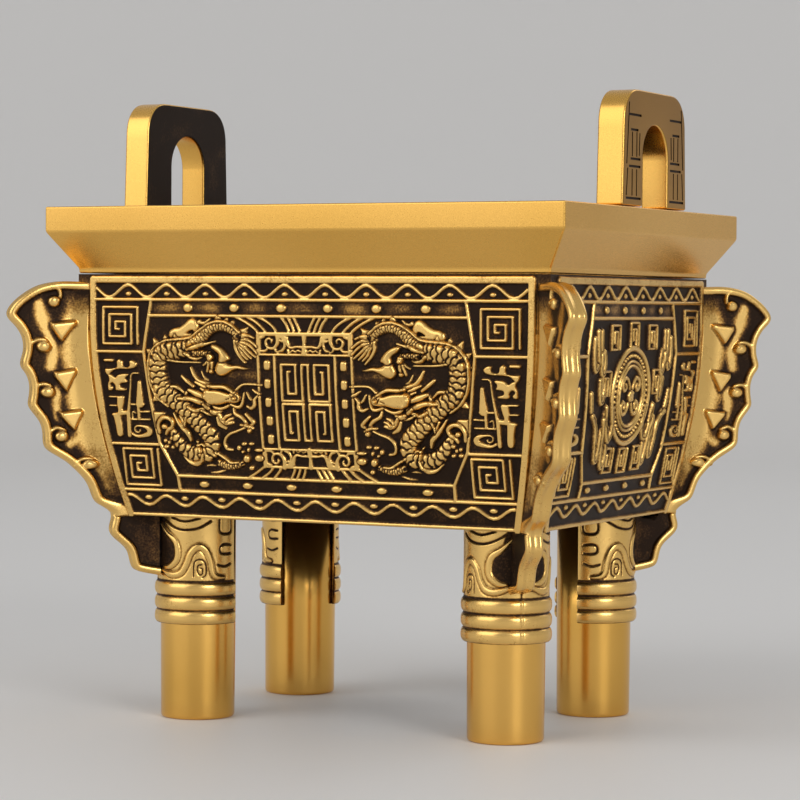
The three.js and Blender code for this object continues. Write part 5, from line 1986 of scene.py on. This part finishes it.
def weigh(piece: bpy.types.Object) -> None:
    """Keeps wide flat faces flat beside their soft edges."""
    modifier = piece.modifiers.new("weighted", "WEIGHTED_NORMAL")
    modifier.keep_sharp = True


@dataclass
class Ear:
    """One upright ear: a thick arch with cut lines on its outer face."""

    name: str
    side: int
    foot_half: float = 26.5
    top_half: float = 25.5
    corner: float = 12.0
    slot_half: float = 10.3
    bridge: float = 10.4
    soft: float = 0.7
    soft_turn: float = 1.0
    corner_steps: int = 12
    corner_power: float = 0.85
    arch_steps: int = 24
    facing: float = 0.9
    cut_width: float = 0.75
    cut_depth: float = 0.8
    cut_lines: Sequence[tuple[Point, Point]] = (
        ((11.8, 192.8), (21.6, 192.8)), ((14.2, 188.2), (20.2, 188.2)), ((12.4, 179.3), (20.4, 179.3)),
        ((12.4, 177.0), (21.6, 177.0)), ((12.0, 167.2), (24.0, 167.2)), ((19.0, 168.0), (19.0, 176.2)),
        ((15.4, 168.0), (15.4, 176.2)), ((19.0, 180.0), (19.0, 187.6)), ((15.4, 180.0), (15.4, 187.6)),
        ((21.6, 196.6), (23.4, 177.6)), ((13.4, 180.4), (13.0, 187.4)), ((22.6, 176.4), (23.6, 168.0)))

    def outline(self, foot: float, top: float) -> list[Point]:
        """Gives the arch's outline, as places along Y and heights."""
        slot = top - self.bridge - self.slot_half
        outer = []
        for k in range(self.corner_steps + 1):
            turn = math.pi / 2 * k / self.corner_steps
            outer.append((self.top_half - self.corner + self.corner * math.cos(turn) ** self.corner_power,
                          top - self.corner + self.corner * math.sin(turn) ** self.corner_power))
        right = [(self.foot_half, foot)] + outer
        left = [(-y, z) for y, z in reversed(right)]
        turns = [math.pi * k / self.arch_steps for k in range(self.arch_steps, -1, -1)]
        arch = [(self.slot_half * math.cos(turn), slot + self.slot_half * math.sin(turn)) for turn in turns]
        return right + left + [(-self.slot_half, foot)] + arch + [(self.slot_half, foot)]

    def build(self, finish: bpy.types.Material, face_finish: bpy.types.Material,
              dark: bpy.types.Material) -> bpy.types.Object:
        """Makes the ear and cuts its lines.

        Args:
            finish: The finish of its edges.
            face_finish: The finish of its outer face.
            dark: The finish of its inner face and of the cut lines.

        Returns:
            The ear's object.
        """
        low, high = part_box(f"{self.name}_ear")
        bm = bmesh.new()
        points = self.outline(low.z / MM, high.z / MM)
        verts = [bm.verts.new((low.x, y * MM, z * MM)) for y, z in points]
        face = bm.faces.new(verts)
        made = bmesh.ops.extrude_face_region(bm, geom=[face])
        moved = [item for item in made["geom"] if isinstance(item, bmesh.types.BMVert)]
        bmesh.ops.translate(bm, verts=moved, vec=(high.x - low.x, 0.0, 0.0))
        bmesh.ops.recalc_face_normals(bm, faces=bm.faces)
        soften(bm, self.soft_turn, self.soft * MM)
        smooth(bm)
        name = f"{self.name}_ear_casting"
        piece = finish_mesh(name, as_mesh(name, bm), finish, f"{self.name}_ear")
        piece.data.materials.append(face_finish)
        piece.data.materials.append(dark)
        for polygon in piece.data.polygons:
            outward_share = polygon.normal.x * self.side
            if abs(outward_share) > self.facing:
                polygon.material_index = 1 if outward_share > 0.0 else 2
        self.cut(piece, dark, low.x if self.side < 0 else high.x)
        weigh(piece)
        return piece

    def cut(self, piece: bpy.types.Object, dark: bpy.types.Material, face: float) -> None:
        """Cuts the dark lines into the outer face.

        Args:
            piece: The ear.
            dark: The finish at the bottom of the cuts.
            face: Where the outer face lies along X.
        """
        bm = bmesh.new()
        for side in (-1, 1):
            for (ay, az), (by, bz) in self.cut_lines:
                middle = Vector((face, side * (ay + by) / 2 * MM, (az + bz) / 2 * MM))
                along = Vector((0.0, side * (by - ay), bz - az))
                tilt = math.atan2(along.z, along.y)
                made = bmesh.ops.create_cube(bm, size=1.0)
                shape = Matrix.Diagonal((self.cut_depth * MM, along.length * MM, self.cut_width * MM, 1.0))
                place = Matrix.Translation(middle) @ Matrix.Rotation(tilt, 4, "X") @ shape
                bmesh.ops.transform(bm, matrix=place, verts=made["verts"])
        mesh = as_mesh("ear_cuts", bm)
        mesh.materials.append(dark)
        cutter = add_object("ear_cuts", mesh)
        modifier = piece.modifiers.new("cuts", "BOOLEAN")
        modifier.operation = "DIFFERENCE"
        modifier.solver = "EXACT"
        modifier.use_self = True
        modifier.material_mode = "TRANSFER"
        modifier.object = cutter
        graph = bpy.context.evaluated_depsgraph_get()
        result = bpy.data.meshes.new_from_object(piece.evaluated_get(graph))
        piece.modifiers.remove(modifier)
        old = piece.data
        piece.data = result
        bpy.data.meshes.remove(old)
        bpy.data.objects.remove(cutter)


@dataclass(frozen=True)
class Lamp:
    """A square lamp: its place and size in metres, and its power in watts."""

    name: str
    place: tuple[float, float, float]
    size: float
    power: float


@dataclass
class Studio:
    """The camera, the lamps and the pale floor, in metres."""

    place: tuple[float, float, float] = (0.42383, -0.83570, 0.1321)
    heading: float = math.radians(26.862)
    pitch: float = math.radians(1.773)
    roll: float = math.radians(0.384)
    lens: float = 129.02
    sensor: float = 36.0
    floor_radius: float = 1.6
    sweep: float = 0.8
    backdrop_top: float = 1.1
    sweep_steps: int = 12
    floor_steps: int = 96
    floor_colour: tuple[float, float, float, float] = (0.8, 0.79, 0.78, 1.0)
    floor_roughness: float = 0.55
    sky: float = 0.47
    aim: tuple[float, float, float] = (0.0, 0.0, 0.1)
    lamps: Sequence[Lamp] = (Lamp("key", (-0.75, -1.45, 1.0), 1.6, 11.5),
                             Lamp("side", (1.55, -0.95, 0.75), 0.8, 10.0),
                             Lamp("back", (0.5, 1.6, 1.3), 0.9, 2.5))

    def camera(self) -> None:
        """Sets the camera at the photograph's viewpoint."""
        data = bpy.data.cameras.new("camera")
        data.lens = self.lens
        data.sensor_width = self.sensor
        data.clip_start = 0.01
        camera = add_object("camera", data)
        forward = Vector((-math.sin(self.heading) * math.cos(self.pitch),
                          math.cos(self.heading) * math.cos(self.pitch), -math.sin(self.pitch)))
        right = forward.cross(Vector((0, 0, 1))).normalized()
        up = right.cross(forward).normalized()
        c, s = math.cos(self.roll), math.sin(self.roll)
        across, over = right * c + up * s, up * c - right * s
        turn = Matrix((across, over, -forward)).transposed().to_4x4()
        camera.matrix_world = Matrix.Translation(self.place) @ turn
        bpy.context.scene.camera = camera

    def floor(self) -> None:
        """Makes the pale floor, which sweeps up into a round backdrop."""
        profile = [(0.0, 0.0), (self.floor_radius, 0.0)]
        for k in range(1, self.sweep_steps + 1):
            turn = math.pi / 2 * k / self.sweep_steps
            profile.append((self.floor_radius + self.sweep * math.sin(turn),
                            self.sweep * (1.0 - math.cos(turn))))
        profile.append((self.floor_radius + self.sweep, self.backdrop_top))
        bm = spun(profile, self.floor_steps)
        bmesh.ops.reverse_faces(bm, faces=bm.faces)
        mesh = as_mesh("floor", bm)
        material, _, _, shader = new_material("pale_floor")
        shader.inputs["Base Color"].default_value = self.floor_colour
        shader.inputs["Roughness"].default_value = self.floor_roughness
        mesh.materials.append(material)
        add_object("floor", mesh)

    def hang_lamps(self) -> None:
        """Hangs the soft lamps, all turned to the vessel."""
        for lamp in self.lamps:
            data = bpy.data.lights.new(lamp.name, "AREA")
            data.size = lamp.size
            data.energy = lamp.power
            made = add_object(lamp.name, data)
            turn = (Vector(self.aim) - Vector(lamp.place)).to_track_quat("-Z", "Y")
            made.matrix_world = Matrix.Translation(lamp.place) @ turn.to_matrix().to_4x4()

    def world(self) -> None:
        """Sets the plain surroundings above the backdrop."""
        world = bpy.data.worlds.new("studio")
        world.use_nodes = True
        sky = world.node_tree.nodes["Background"]
        sky.inputs["Color"].default_value = (1.0, 1.0, 1.0, 1.0)
        sky.inputs["Strength"].default_value = self.sky
        bpy.context.scene.world = world
        bpy.context.scene.view_settings.view_transform = "Standard"


def dress_frame(patina: bpy.types.Material, steel: bpy.types.Material) -> None:
    """Gives the frame's own nodes that stay in view their finishes."""
    for name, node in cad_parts.items():
        finish = steel if "screw" in name or "pin" in name else patina
        node.data.materials.clear()
        node.data.materials.append(finish)


def main() -> None:
    """Builds the vessel, piece by piece."""
    logging.basicConfig(level=logging.INFO)
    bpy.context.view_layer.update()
    studio = Studio()
    studio.camera()
    brass = Brass().build()
    turned = Brass("turned_brass", cloud=24.0, grain=(60.0, 60.0, 2600.0), grain_bump=0.006, swing=0.015,
                   roughness=0.23).build()
    bronze = Brass("aged_brass", bright=(0.46, 0.235, 0.035), deep=(0.3, 0.145, 0.02),
                   roughness=0.34).build()
    patina = Patina().build()
    steel = Steel().build()
    dress_frame(patina, steel)
    body = Body()
    Rim(body).build(brass)
    long_ornament, short_ornament = LongWallOrnament(), ShortWallOrnament()
    Wall(body, "front_wall", 0.0, True).build(long_ornament, patina)
    Wall(body, "back_wall", math.pi, True).build(long_ornament, patina)
    Wall(body, "right_wall", math.pi / 2, False, 0.32, 1).build(short_ornament, patina)
    Wall(body, "left_wall", -math.pi / 2, False, 0.32, 1).build(short_ornament, patina)
    for side, name in ((-1, "left"), (1, "right")):
        Ear(name, side).build(brass, bronze, patina)
        for depth, place in ((-1, "front"), (1, "back")):
            Flange(body, f"flange_{place}_{name}", side, depth).build(patina)
            Leg(f"{place}_{name}", side, depth).build(turned, patina)
    studio.floor()
    studio.hang_lamps()
    studio.world()


if __name__ == "__main__":
    main()
